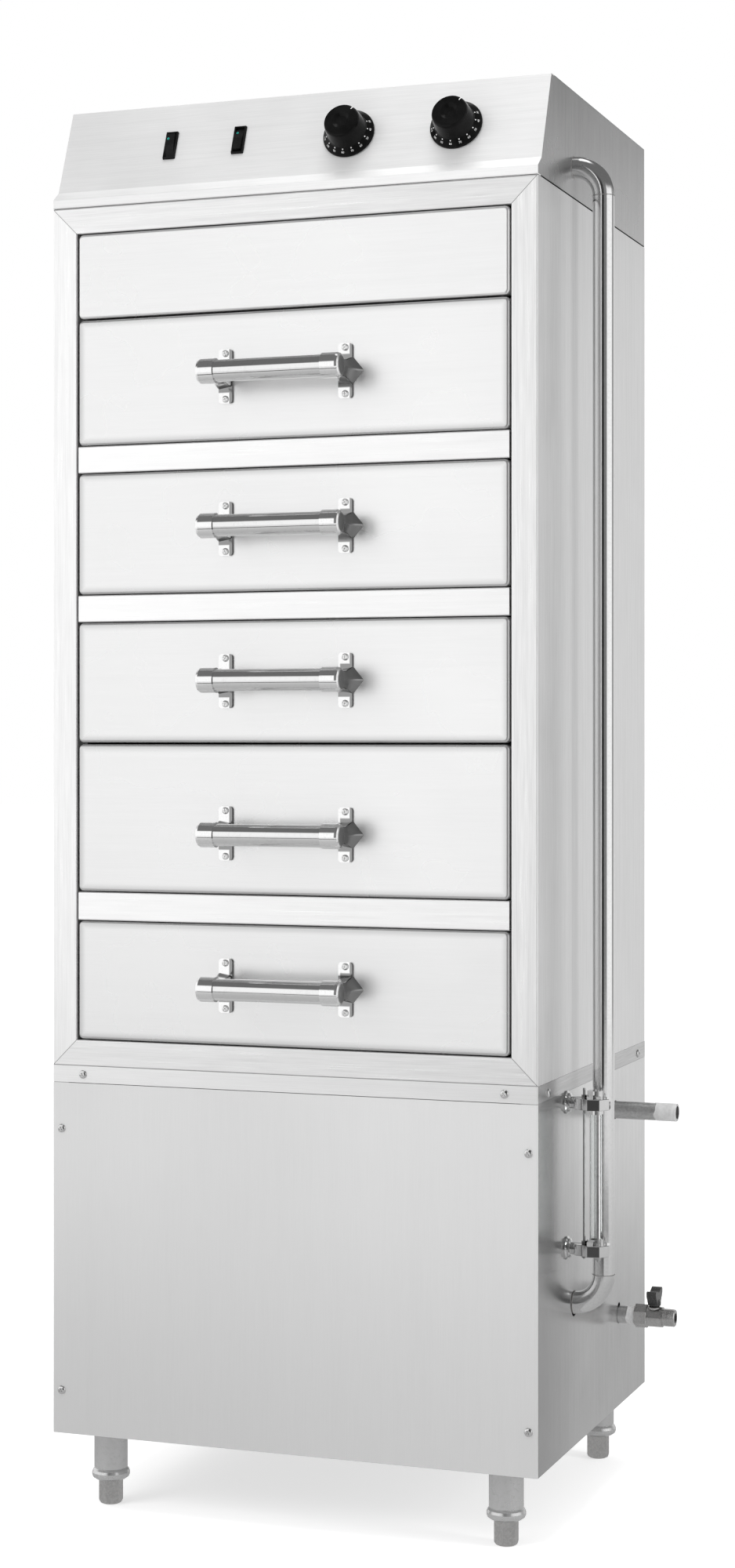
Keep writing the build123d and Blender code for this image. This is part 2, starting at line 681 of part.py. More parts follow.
with BuildPart() as drawer_runners:
    for number in range(DRAWERS):
        flange_top = TOP_HANDLE_Z - HANDLE_PITCH * number + TRAY_ABOVE_HANDLE
        lower = flange_top - SHEET - RUNNER_BELOW
        upper = flange_top + RUNNER_ABOVE
        for side, fold in ((RUNNER_X, 1), (WIDTH - RUNNER_X, -1)):
            web = sorted((side, side + fold * SHEET))
            legs = sorted((side, side + fold * RUNNER_REACH))
            runner_y = (LINER_FRONT + RUNNER_END_GAP, LINER_BACK - SHEET - RUNNER_END_GAP)
            block(web, runner_y, (lower + HAIRLINE / 2, upper - HAIRLINE / 2))
            block(legs, runner_y, (lower - SHEET, lower))
            block(legs, runner_y, (upper, upper + SHEET))
finish(drawer_runners, "drawer_runners")

# Control box

CONTROL_BOTTOM = CABINET_TOP + SEAM
SLOPE_TOP = (SLOPE_TOP_Y, HEIGHT)
FRONT_LIP = 12
SPINDLE_HOLE = 6

with BuildPart() as control_front:
    control_profile = [
        (FRONT_LIP, CONTROL_BOTTOM),
        (0, CONTROL_BOTTOM),
        (0, FLANGE_TOP),
        LEDGE_TOP,
        SLOPE_TOP,
        (SLOPE_TOP_Y + FRONT_LIP, HEIGHT),
    ]
    bent_sheet(facing_right(0), control_profile, Side.RIGHT, WIDTH)
    for x in SWITCH_X:
        with BuildSketch(on_slope(x, SWITCH_S)):
            Rectangle(SWITCH_BODY[0] + HAIRLINE, SWITCH_BODY[1] + HAIRLINE)
        extrude(amount=2 * SHEET, both=True, mode=Mode.SUBTRACT)
    for x in DIAL_X:
        bar(on_slope(x, DIAL_S), SPINDLE_HOLE, -2 * SHEET, SHEET, mode=Mode.SUBTRACT)
finish(control_front, "control_front")

with BuildPart() as control_cheeks:
    cheek_profile = [(0, CONTROL_BOTTOM), (0, FLANGE_TOP), LEDGE_TOP, SLOPE_TOP]
    cheek_profile += [(HOOD_BACK, HEIGHT), (HOOD_BACK, CONTROL_BOTTOM)]
    for x in (0, WIDTH - SHEET):
        with BuildSketch(facing_right(x)):
            Polygon(*cheek_profile, align=None)
            offset(amount=-SHEET - HAIRLINE / 2, kind=Kind.INTERSECTION)
        extrude(amount=SHEET)
    conduit_place = (CONDUIT_Y, CONDUIT_TOP + WELD + CONDUIT_BEND)
    drill(facing_right(WIDTH), [conduit_place], CONDUIT_RADIUS + HAIRLINE, FLANGE / 2)
finish(control_cheeks, "control_cheeks")

GLAND = Plane(at(GLAND_X, 0, GLAND_Z), x_dir=(1, 0, 0), z_dir=(0, 1, 0))

with BuildPart() as control_hood:
    hood_profile = [
        (SLOPE_TOP_Y + FRONT_LIP + HAIRLINE, HEIGHT),
        (HOOD_BACK, HEIGHT),
        (HOOD_BACK, CONTROL_BOTTOM),
    ]
    bent_sheet(facing_right(0), hood_profile, Side.RIGHT, WIDTH)
    through = (HOOD_BACK - 2 * SHEET, HOOD_BACK + SHEET)
    bar(GLAND, GLAND_THREAD + HAIRLINE, *through, mode=Mode.SUBTRACT)
finish(control_hood, "control_hood")


# a rocker's side: along the switch, and out of its pivot
ROCKER_OUTLINE = [
    (-14.9, 4.4),
    (0, 6.5),
    (14.9, 4.4),
    (14.4, 0),
    (6.5, -3.5),
    (-6.5, -3.5),
    (-14.4, 0),
]


def rocker(x, tilt):
    """A rocker with a low ridge across its face, tilted about its pivot, with its two pins."""
    pivot = on_slope(x, SWITCH_S, ROCKER_PIVOT).rotated((tilt, 0, 0))
    profile = Plane(pivot.origin, x_dir=pivot.y_dir, z_dir=pivot.x_dir)
    with BuildSketch(profile) as section:
        Polygon(*ROCKER_OUTLINE, align=None)
    extrude(section.sketch, amount=ROCKER_WIDTH / 2, both=True)
    fillet(edges().filter_by(Axis.X), radius=ROCKER_ROUND)
    pin = ROCKER_WIDTH / 2 + PIN_REACH
    bar(profile, PIVOT_RADIUS, -pin, pin)


# the first switch is pressed at its lower end, the second at its upper end
for number, tilt in ((1, ROCKER_TILT), (2, -ROCKER_TILT)):
    with BuildPart() as rocker_part:
        rocker(SWITCH_X[number - 1], tilt)
    finish(rocker_part, f"rocker_{number}")

with BuildPart() as switch_housings:
    for x in SWITCH_X:
        with BuildSketch(on_slope(x, SWITCH_S)):
            RectangleRounded(BEZEL[0], BEZEL[1], radius=1)
        extrude(amount=BEZEL[2], taper=BEZEL_TAPER)
        with BuildSketch(on_slope(x, SWITCH_S)):
            Rectangle(SWITCH_BODY[0], SWITCH_BODY[1])
        extrude(amount=-SWITCH_BODY[2])
        with BuildSketch(on_slope(x, SWITCH_S, BEZEL[2])):
            Rectangle(SWITCH_CAVITY[0], SWITCH_CAVITY[1])
        extrude(amount=-SWITCH_CAVITY[2], mode=Mode.SUBTRACT)
        pivot = on_slope(x, SWITCH_S, ROCKER_PIVOT)
        pin_line = Plane(pivot.origin, x_dir=pivot.y_dir, z_dir=pivot.x_dir)
        pin_half = SWITCH_BODY[0] / 2
        bar(pin_line, PIVOT_RADIUS + RUNNING_FIT, -pin_half, pin_half, mode=Mode.SUBTRACT)
        # three blade terminals behind
        for s in (-BLADE_PITCH, 0, BLADE_PITCH):
            with BuildSketch(on_slope(x, SWITCH_S + s, -SWITCH_BODY[2])):
                Rectangle(BLADE[0], BLADE[1])
            extrude(amount=-BLADE[2])
finish(switch_housings, "switch_housings")

# a dial from its skirt to the dish in its face, as radius and height over the panel
DIAL_BORE = SPINDLE_RADIUS + 0.02
DIAL_OUTLINE = [
    (DIAL_BORE, DIAL_CLEARANCE),
    (DIAL_RADIUS, DIAL_CLEARANCE),
    (DIAL_RADIUS, 2.2),
    (30.6, 3.2),
    (24.3, 8.8),
    (24.0, 9.8),
    (21.3, 27.2),
    (20.5, 29.2),
    (19.0, 30.0),
    (10.5, 30.6),
    (9.4, 30.0),
    (6.5, 28.2),
    (0, 27.4),
    (0, DIAL_SOCKET),
    (DIAL_BORE, DIAL_SOCKET),
]

for number in (1, 2):
    with BuildPart() as dial:
        centre = on_slope(DIAL_X[number - 1], DIAL_S)
        turned(centre, DIAL_OUTLINE)
        bar(centre, SPINDLE_RADIUS, -SPINDLE_DEPTH, DIAL_SOCKET - HAIRLINE)
    finish(dial, f"dial_{number}")

with BuildPart() as thermostats:
    for x in DIAL_X:
        face = on_slope(x, DIAL_S, THERMOSTAT_FACE)
        with BuildSketch(face):
            RectangleRounded(THERMOSTAT[0], THERMOSTAT[1], radius=THERMOSTAT_CORNER)
        extrude(amount=-THERMOSTAT[2])
        bar(face, SPINDLE_RADIUS + RUNNING_FIT, -SPINDLE_DEPTH, 0, mode=Mode.SUBTRACT)
        for s in (-THERMOSTAT_BLADE_PITCH, THERMOSTAT_BLADE_PITCH):
            with BuildSketch(on_slope(x, DIAL_S + s, THERMOSTAT_FACE - THERMOSTAT[2])):
                Rectangle(THERMOSTAT_BLADE[0], THERMOSTAT_BLADE[1])
            extrude(amount=-THERMOSTAT_BLADE[2])
finish(thermostats, "thermostats")

with BuildPart() as mains_inlet:
    inner_face = HOOD_BACK - SHEET - HAIRLINE
    thread_start = inner_face - 2 * GLAND_NUT
    bar(GLAND, GLAND_THREAD, thread_start, HOOD_BACK)
    hexagon(GLAND, 2 * GLAND_RADIUS, inner_face - GLAND_NUT, inner_face)
    hexagon(GLAND, 2 * GLAND_RADIUS, HOOD_BACK, HOOD_BACK + GLAND_NUT)
    bar(GLAND, GLAND_RADIUS - 1, HOOD_BACK + GLAND_NUT, GLAND_END)
    bar(GLAND, GLAND_BORE, thread_start - 1, GLAND_END + 1, mode=Mode.SUBTRACT)
    # the terminal block on the cabinet's top
    block(TERMINAL_X, TERMINAL_Y, (CABINET_TOP, CABINET_TOP + TERMINAL_HEIGHT))
finish(mains_inlet, "mains_inlet")

# Conduit at the right side


def across_axis(y, z):
    """A plane at the left side whose normal runs to the right, for pipes through the wall."""
    return Plane(at(0, y, z), x_dir=(0, 1, 0), z_dir=(1, 0, 0))


CONDUIT_AXIS = Plane(at(CONDUIT_X, CONDUIT_Y, 0))
CONDUIT_BORE = CONDUIT_RADIUS - CONDUIT_WALL
BEND_CENTRE_X = CONDUIT_X - CONDUIT_BEND

with BuildPart() as conduit_pipe:
    bar(CONDUIT_AXIS, CONDUIT_RADIUS, CONDUIT_BOTTOM, CONDUIT_TOP, bore=CONDUIT_BORE)
finish(conduit_pipe, "conduit_pipe")

with BuildPart() as conduit_elbows:
    for start, rise in ((CONDUIT_TOP, 1), (CONDUIT_BOTTOM, -1)):
        bend_z = start + WELD * rise
        start_place = at(CONDUIT_X, CONDUIT_Y, bend_z)
        with BuildSketch(Plane(start_place, x_dir=(1, 0, 0), z_dir=(0, 0, rise))):
            Circle(CONDUIT_RADIUS)
            Circle(CONDUIT_BORE, mode=Mode.SUBTRACT)
        bend_axis = Axis(at(BEND_CENTRE_X, CONDUIT_Y, bend_z), (0, -rise, 0))
        revolve(axis=bend_axis, revolution_arc=90)
        into_cabinet = across_axis(CONDUIT_Y, bend_z + rise * CONDUIT_BEND)
        bar(into_cabinet, CONDUIT_RADIUS, CONDUIT_INSIDE, BEND_CENTRE_X, bore=CONDUIT_BORE)
finish(conduit_elbows, "conduit_elbows")

# Tank, heaters, gauge, inlet and drain

with BuildPart() as tank:
    block(TANK_X, TANK_Y, (TANK_BOTTOM, TANK_RIM + SHEET))
    rim_x = (TANK_RIM_EDGE, WIDTH - TANK_RIM_EDGE)
    block(rim_x, (TANK_RIM_EDGE, DEPTH - TANK_RIM_EDGE), (TANK_RIM, TANK_RIM + SHEET))
    water_x = (TANK_X[0] + TANK_WALL, TANK_X[1] - TANK_WALL)
    water_y = (TANK_Y[0] + TANK_WALL, TANK_Y[1] - TANK_WALL)
    block(water_x, water_y, (TANK_BOTTOM + TANK_WALL, TANK_RIM + 2 * SHEET), mode=Mode.SUBTRACT)
    tank_side = facing_right(TANK_X[1])
    drill(tank_side, gauge_holes, GAUGE_NECK_RADIUS, 2 * TANK_WALL)
    drill(tank_side, [(INLET_Y, INLET_Z)], PIPE_RADIUS, 2 * TANK_WALL)
    drill(tank_side, [(DRAIN_Y, DRAIN_Z)], THREAD_RADIUS, 2 * TANK_WALL)
    heater_places = [(x + side, HEATER_Z) for x in HEATER_X for side in HEATER_SIDES]
    drill(facing_front(TANK_Y[0]), heater_places, BUSH_RADIUS, 2 * TANK_WALL)
finish(tank, "tank")

with BuildPart() as heater_elements:
    for x in HEATER_X:
        leg_end = HEATER_END - HEATER_HALF_SPREAD
        left, right = (x + side for side in HEATER_SIDES)
        start = at(left, HEATER_START, HEATER_Z)
        with BuildLine() as hairpin:
            far_left = at(left, leg_end, HEATER_Z)
            far_right = at(right, leg_end, HEATER_Z)
            Line(start, far_left)
            ThreePointArc(far_left, at(x, HEATER_END, HEATER_Z), far_right)
            Line(far_right, at(right, HEATER_START, HEATER_Z))
        with BuildSketch(Plane(start, x_dir=(1, 0, 0), z_dir=(0, 1, 0))):
            Circle(HEATER_RADIUS)
        sweep(path=hairpin.wire())
        # the bushes that seal each leg in the tank's front wall, with a nut on either side
        outside = TANK_Y[0] - HAIRLINE
        inside = TANK_Y[0] + TANK_WALL + HAIRLINE
        for leg_x in (left, right):
            bush = Plane(at(leg_x, 0, HEATER_Z), x_dir=(1, 0, 0), z_dir=(0, 1, 0))
            bar(bush, BUSH_RADIUS, outside, inside)
            hexagon(bush, BUSH_FLATS, outside - BUSH_NUT, outside)
            hexagon(bush, BUSH_FLATS, inside, inside + BUSH_NUT)
finish(heater_elements, "heater_elements")

GAUGE_AXIS = Plane(at(GAUGE_X, GAUGE_Y, 0))
# two stepped roses against the cabinet's wall, as radius and distance from the wall
ROSE_OUTLINES = [
    [(0, 0.1), (13.5, 0.1), (13.5, 1.6), (11.5, 3), (0, 3)],
    [(0, 3), (11, 3), (11, 4.6), (8.5, 6), (0, 6)],
]

with BuildPart() as gauge_fittings:
    for level, toward_glass in zip(GAUGE_LEVELS, (1, -1)):
        half = GAUGE_BODY_HEIGHT / 2
        # an octagon round the glass, with a round boss towards the wall
        with BuildSketch(facing_up(level - half)):
            with Locations((GAUGE_X, GAUGE_Y)):
                RegularPolygon(
                    radius=GAUGE_BODY_FLATS / 2,
                    side_count=8,
                    major_radius=False,
                    rotation=GAUGE_BODY_TURN,
                )
            with Locations((GAUGE_X - GAUGE_BOSS_BACK, GAUGE_Y)):
                Circle(GAUGE_BOSS_RADIUS)
        extrude(amount=GAUGE_BODY_HEIGHT)
        chamfer(faces(Select.LAST).filter_by(Axis.Z).edges(), length=GAUGE_CHAMFER)
        neck = across_axis(GAUGE_Y, level)
        neck_start = TANK_X[1] - TANK_WALL - GAUGE_NECK_INSIDE
        neck_end = GAUGE_X - GAUGE_BODY_FLATS / 2 + SEAM
        bar(neck, GAUGE_NECK_RADIUS, neck_start, neck_end)
        for outline in ROSE_OUTLINES:
            turned(neck, [(radius, WIDTH + out) for radius, out in outline])
        # the gland nut round the glass, and the filler nut on top of the upper fitting
        inner = level + toward_glass * half
        nut_end = inner + toward_glass * GLAND_NUT_HEIGHT[0]
        hexagon(GAUGE_AXIS, GLAND_NUT_FLATS[0], *sorted((inner, nut_end)), turn=30)
        if toward_glass < 0:
            top = level + half
            hexagon(GAUGE_AXIS, GLAND_NUT_FLATS[1], top, top + GLAND_NUT_HEIGHT[1], turn=30)
        # the seat for the glass and the holes for the guard rods
        seat = sorted((nut_end + toward_glass, level - toward_glass * GLASS_SEAT))
        bar(GAUGE_AXIS, GLASS_RADIUS + RUNNING_FIT, *seat, mode=Mode.SUBTRACT)
        with BuildSketch(facing_up(level - half - 1)):
            with Locations((GAUGE_X, GAUGE_Y)):
                with PolarLocations(ROD_CIRCLE, len(ROD_ANGLES), start_angle=ROD_ANGLES[0]):
                    Circle(ROD_RADIUS + RUNNING_FIT)
        extrude(amount=GAUGE_BODY_HEIGHT + 2, mode=Mode.SUBTRACT)
finish(gauge_fittings, "gauge_fittings")

with BuildPart() as gauge_glass:
    glass_bottom = GAUGE_LEVELS[0] - GLASS_SEAT + HAIRLINE
    glass_top = GAUGE_LEVELS[1] + GLASS_SEAT - HAIRLINE
    bar(GAUGE_AXIS, GLASS_RADIUS, glass_bottom, glass_top, bore=GLASS_RADIUS - GLASS_WALL)
finish(gauge_glass, "gauge_glass")

with BuildPart() as gauge_rods:
    half = GAUGE_BODY_HEIGHT / 2
    rod_bottom = GAUGE_LEVELS[0] - half - ROD_ENDS[0]
    rod_top = GAUGE_LEVELS[1] + half + ROD_ENDS[1]
    for angle in ROD_ANGLES:
        rod_x = GAUGE_X + ROD_CIRCLE * math.cos(math.radians(angle))
        rod_y = GAUGE_Y + ROD_CIRCLE * math.sin(math.radians(angle))
        rod = Plane(at(rod_x, rod_y, 0))
        bar(rod, ROD_RADIUS, rod_bottom, rod_top)
        for start in (
            GAUGE_LEVELS[0] - half - ROD_NUT - HAIRLINE,
            GAUGE_LEVELS[0] + half + HAIRLINE,
            GAUGE_LEVELS[1] + half + HAIRLINE,
        ):
            hexagon(rod, ROD_NUT_FLATS, start, start + ROD_NUT, turn=angle)
finish(gauge_rods, "gauge_rods")


FLOAT_PIN = Plane(at(FLOAT_PIVOT[0], INLET_Y, FLOAT_PIVOT[1]), x_dir=(1, 0, 0), z_dir=(0, 1, 0))

with BuildPart() as inlet_pipe:
    inlet = across_axis(INLET_Y, INLET_Z)
    bar(inlet, PIPE_RADIUS, INLET_BLOCK_X[1] - SHEET, INLET_THREAD, bore=PIPE_BORE)
    bar(inlet, THREAD_RADIUS, INLET_THREAD, INLET_END, bore=PIPE_BORE)
    # the valve block inside the tank, with the fork that carries the float's pivot pin
    block(INLET_BLOCK_X, (INLET_Y - FORK_OUTER, INLET_Y + FORK_OUTER), INLET_BLOCK_Z)
    bar(inlet, INLET_JET_RADIUS, INLET_JET_START, INLET_BLOCK_X[1] + SHEET, mode=Mode.SUBTRACT)
    fork_x = (FLOAT_PIVOT[0] - FORK_INNER, FLOAT_PIVOT[0] + FORK_INNER)
    for side in (-1, 1):
        cheek = sorted((INLET_Y + side * FORK_INNER, INLET_Y + side * FORK_OUTER))
        block(fork_x, cheek, (FLOAT_PIVOT[1] - FORK_DROP, INLET_BLOCK_Z[0]))
    bar(FLOAT_PIN, FLOAT_PIN_RADIUS, -FORK_OUTER, FORK_OUTER)
finish(inlet_pipe, "inlet_pipe")

with BuildPart() as float_arm:
    bar(FLOAT_PIN, FLOAT_HUB[0], -FLOAT_HUB[1], FLOAT_HUB[1])
    rise = FLOAT_PIVOT[1] - FLOAT_Z
    run = FLOAT_PIVOT[0] - FLOAT_X
    arm_end = math.hypot(run, rise) - FLOAT_RADIUS + SHEET
    arm = Plane(FLOAT_PIN.origin, x_dir=(0, 1, 0), z_dir=(-run, 0, -rise))
    bar(arm, FLOAT_ARM_RADIUS, FLOAT_HUB[0] - SHEET, arm_end)
    with Locations(at(FLOAT_X, INLET_Y, FLOAT_Z)):
        Sphere(FLOAT_RADIUS, rotation=(0, 0, 180))
    bar(FLOAT_PIN, FLOAT_PIN_RADIUS + RUNNING_FIT, -FORK_INNER, FORK_INNER, mode=Mode.SUBTRACT)
finish(float_arm, "float_arm")

with BuildPart() as drain_nipple:
    drain = across_axis(DRAIN_Y, DRAIN_Z)
    bar(drain, THREAD_RADIUS, TANK_X[1] - TANK_WALL, NIPPLE_END, bore=PIPE_BORE)
finish(drain_nipple, "drain_nipple")

VALVE_AXIS = Plane(at(VALVE_X, DRAIN_Y, DRAIN_Z))

with BuildPart() as valve_body:
    hexagon(drain, VALVE_HEX_FLATS, VALVE_HEX_START, VALVE_HEX_END, turn=30)
    chamfer(faces().filter_by(Axis.X).edges(), length=VALVE_CHAMFER)
    bar(drain, VALVE_BODY_RADIUS, VALVE_HEX_END, VALVE_BODY_END)
    bar(drain, THREAD_RADIUS, VALVE_BODY_END, VALVE_END)
    chamfer(faces().sort_by(Axis.X)[-1].edges(), length=VALVE_CHAMFER)
    # the neck that the spindle comes out of
    turned(VALVE_AXIS, [(0, 0), (8, 0), (8, 12), (6, VALVE_NECK_TOP), (0, VALVE_NECK_TOP)])
    socket = (VALVE_HEX_START - SHEET, VALVE_SOCKET_END)
    bar(drain, THREAD_RADIUS + RUNNING_FIT, *socket, mode=Mode.SUBTRACT)
    bar(drain, VALVE_BORE, VALVE_SOCKET_END, VALVE_END + SHEET, mode=Mode.SUBTRACT)
    with Locations(VALVE_AXIS.origin):
        Sphere(BALL_RADIUS + BALL_GAP, mode=Mode.SUBTRACT)
    spindle_hole = VALVE_SPINDLE_RADIUS + RUNNING_FIT
    bar(VALVE_AXIS, spindle_hole, 0, VALVE_NECK_TOP + SHEET, mode=Mode.SUBTRACT)
finish(valve_body, "valve_body")

# the upper edge of the butterfly grip, a high wing at one side and a low one at the other
WING_EDGE = [
    (17.5, 31.5),
    (14, 34.5),
    (8, 33),
    (0, 30),
    (-8, 31.5),
    (-13.5, 33),
    (-16.5, 31),
]

with BuildPart() as valve_handle:
    # the ball, bored along Y while the valve is shut, and its spindle
    with Locations(VALVE_AXIS.origin):
        Sphere(BALL_RADIUS)
    ball_bore = Plane(VALVE_AXIS.origin, x_dir=(1, 0, 0), z_dir=(0, 1, 0))
    bar(ball_bore, BALL_BORE, -BALL_RADIUS, BALL_RADIUS, mode=Mode.SUBTRACT)
    bar(VALVE_AXIS, VALVE_SPINDLE_RADIUS, BALL_RADIUS - 2 * SHEET, VALVE_NECK_TOP + 5)
    # the round base of the grip, and its wings
    turned(VALVE_AXIS, [(0, 14.2), (8, 14.2), (8.2, 18.5), (6.8, 21), (0, 21)])
    wings = Plane(VALVE_AXIS.origin, x_dir=(0, 1, 0), z_dir=(1, 0, 0))
    with BuildSketch(wings):
        with BuildLine():
            Polyline((-9, 17), (9, 17), (17, 27), WING_EDGE[0])
            Spline(*WING_EDGE)
            Polyline(WING_EDGE[-1], (-16, 27), (-9, 17))
        make_face()
    extrude(amount=WING_THICKNESS / 2, both=True)
finish(valve_handle, "valve_handle")

# Legs and feet

LEG_PLACES = {
    "front_left": (LEG_X, LEG_FRONT),
    "front_right": (WIDTH - LEG_X, LEG_FRONT),
    "rear_left": (LEG_X, LEG_REAR),
    "rear_right": (WIDTH - LEG_X, LEG_REAR),
}
STEM_BORE = STEM_RADIUS + RUNNING_FIT
TUBE_BORE = LEG_RADIUS - LEG_WALL

with BuildPart() as legs:
    for x, y in LEG_PLACES.values():
        tube = Plane(at(x, y, 0))
        bar(tube, LEG_RADIUS, LEG_BOTTOM, BASE_BOTTOM - HAIRLINE, bore=TUBE_BORE)
        collar = [
            (STEM_BORE, COLLAR_BOTTOM),
            (LEG_RADIUS - 2, COLLAR_BOTTOM),
            (COLLAR_RADIUS - 1, COLLAR_BOTTOM + 2.5),
            (COLLAR_RADIUS, COLLAR_BOTTOM + 5),
            (COLLAR_RADIUS, COLLAR_BOTTOM + 8),
            (COLLAR_RADIUS - 1.2, COLLAR_BOTTOM + 11),
            (LEG_RADIUS - 0.6, COLLAR_BOTTOM + 13),
            (LEG_RADIUS, LEG_BOTTOM),
            (LEG_RADIUS, LEG_BOTTOM + 1),
            (TUBE_BORE, LEG_BOTTOM + 1),
            (TUBE_BORE, LEG_BOTTOM + INSERT_HEIGHT),
            (STEM_BORE, LEG_BOTTOM + INSERT_HEIGHT),
        ]
        turned(tube, collar)
finish(legs, "legs")

FOOT_TURN = 31
# the rounded underside of a foot
FOOT_OUTLINE = [
    (0, 0),
    (10, 0),
    (12.6, 1.4),
    (14, 3.6),
    (15, 6.5),
    (15, FOOT_TOP),
    (0, FOOT_TOP),
]

for corner, (x, y) in LEG_PLACES.items():
    with BuildPart() as foot:
        stem = Plane(at(x, y, 0))
        hexagon(stem, FOOT_ACROSS_FLATS, 0, FOOT_TOP, turn=FOOT_TURN)
        turned(stem, FOOT_OUTLINE, Mode.INTERSECT)
        bar(stem, STEM_RADIUS, FOOT_TOP - SHEET, LEG_BOTTOM + INSERT_HEIGHT + FOOT_TRAVEL)
    finish(foot, f"foot_{corner}")

# Screws: pan heads with a cross recess

SCREW_OUTLINE = [(0, 0), (5, 0), (5, 0.7), (4.2, 1.6), (2.6, SCREW_HEAD), (0, SCREW_HEAD)]
CROSS_LENGTH = 4.6
CROSS_WIDTH = 0.9
CROSS_TURN = 35


def pan_screw(plane):
    """A pan-head screw whose head stands out of a plane, with its shank behind."""
    turned(plane, SCREW_OUTLINE)
    bar(plane, SCREW_RADIUS, -SCREW_LENGTH, 0)
    with BuildSketch(plane.offset(SCREW_HEAD)) as cross:
        Rectangle(CROSS_LENGTH, CROSS_WIDTH, rotation=CROSS_TURN)
        Rectangle(CROSS_WIDTH, CROSS_LENGTH, rotation=CROSS_TURN)
    extrude(cross.sketch, amount=-SCREW_HEAD / 2, mode=Mode.SUBTRACT)


with BuildPart() as cabinet_screws:
    for x, z in FRONT_SCREWS + RIM_SCREWS:
        pan_screw(Plane(at(x, 0, z), x_dir=(1, 0, 0), z_dir=(0, -1, 0)))
    for y, z in SIDE_SCREWS:
        pan_screw(Plane(at(0, y, z), x_dir=(0, 1, 0), z_dir=(-1, 0, 0)))
        pan_screw(Plane(at(WIDTH, y, z), x_dir=(0, 1, 0), z_dir=(1, 0, 0)))
finish(cabinet_screws, "cabinet_screws")
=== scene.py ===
# %% [markdown]
# # A dim sum steam cabinet
# A tall stainless cabinet with a water tank in its base, five steam drawers above it and a
# sloped control box on top. Its solids come from the CAD frame and stay as they are. This
# lesson gives each of them a finish, and adds the small things that CAD leaves out: the
# screws of the handles, welds, pipe threads, thread tape, and the marks on the dials.

# %% Load the frame
import math

import bmesh
import bpy
from mathutils import Matrix, Vector


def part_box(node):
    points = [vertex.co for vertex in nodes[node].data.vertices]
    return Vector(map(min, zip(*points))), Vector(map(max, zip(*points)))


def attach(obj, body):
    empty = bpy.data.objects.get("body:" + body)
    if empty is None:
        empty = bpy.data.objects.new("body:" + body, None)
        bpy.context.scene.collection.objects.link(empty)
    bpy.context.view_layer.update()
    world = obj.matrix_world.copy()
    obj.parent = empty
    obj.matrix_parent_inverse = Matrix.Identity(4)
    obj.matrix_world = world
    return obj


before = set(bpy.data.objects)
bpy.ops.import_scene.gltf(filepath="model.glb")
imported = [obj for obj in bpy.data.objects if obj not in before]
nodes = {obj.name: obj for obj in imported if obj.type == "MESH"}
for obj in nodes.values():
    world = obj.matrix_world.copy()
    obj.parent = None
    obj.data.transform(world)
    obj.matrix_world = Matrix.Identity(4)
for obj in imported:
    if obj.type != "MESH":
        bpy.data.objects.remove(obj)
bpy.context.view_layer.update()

# %% [markdown]
# ## Where things are
# The solids were drawn from the cabinet's left side, its front face and the floor, in
# millimetres. The same three numbers are handy here, so one function turns them into the
# frame's metres. The control panel leans back, so a second one places things on its slope.

# %% Places
LEFT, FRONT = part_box("base_front")[0].x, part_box("base_front")[0].y
MM = 0.001
LEDGE = (14.0, 1568.0)
SLOPE_TOP = (54.0, 1671.5)
SLOPE = math.atan2(SLOPE_TOP[0] - LEDGE[0], SLOPE_TOP[1] - LEDGE[1])


def at(x, y, z):
    """A place from the cabinet's left side, front face and floor, in millimetres."""
    return Vector((LEFT + x * MM, FRONT + y * MM, z * MM))


def on_slope(x, along, out, turn=0.0):
    """A matrix on the control panel: X to the right, Y up the slope, Z out of its face."""
    y = LEDGE[0] + along * math.sin(SLOPE) - out * math.cos(SLOPE)
    z = LEDGE[1] + along * math.cos(SLOPE) + out * math.sin(SLOPE)
    lean = Matrix.Rotation(math.pi / 2 - SLOPE, 4, "X")
    return Matrix.Translation(at(x, y, z)) @ lean @ Matrix.Rotation(turn, 4, "Z")


def new_object(name, data):
    made = bpy.data.objects.new(name, data)
    bpy.context.scene.collection.objects.link(made)
    return made


print("slope leans back", round(math.degrees(SLOPE), 1), "degrees")

# %% [markdown]
# ## Camera
# The photograph was taken from the right of the cabinet, level, and a little below its
# middle, with a long lens. The cabinet's own edges gave these numbers.

# %% Camera
IMAGE_HEIGHT = 2000
FOCAL_PIXELS = 3452.6
HORIZON_ROW = 940.5
YAW = math.radians(20.0)
SENSOR = 36.0
CAMERA_PLACE = at(1453.0, -2898.6, 918.4)

camera_data = bpy.data.cameras.new("photo_camera")
camera_data.sensor_width = SENSOR
camera_data.lens = SENSOR * FOCAL_PIXELS / IMAGE_HEIGHT
camera_data.shift_y = (HORIZON_ROW - IMAGE_HEIGHT / 2) / IMAGE_HEIGHT
camera_data.clip_end = 100
camera = new_object("photo_camera", camera_data)
camera.location = CAMERA_PLACE
camera.rotation_euler = (math.pi / 2, 0, YAW)
bpy.context.scene.camera = camera
print("lens", round(camera_data.lens, 1), "mm")

# %% [markdown]
# ## Making nodes short to write
# Every finish here is a node tree, and so is every repeated shape. One helper adds a node,
# sets its options, and fills each input with a value or with another node's output.


# %% Node helpers
def fill(tree, node, sockets):
    """Fills inputs by name or number: with a value, an output to link, or a list of them."""
    for name, value in sockets.items():
        if isinstance(value, (bpy.types.NodeSocket, list)):
            for output in value if isinstance(value, list) else [value]:
                tree.links.new(output, node.inputs[name])
        else:
            node.inputs[name].default_value = value
    return node


def add_node(tree, kind, sockets=None, **options):
    made = tree.nodes.new(kind)
    for name, value in options.items():
        setattr(made, name, value)
    return fill(tree, made, sockets or {})


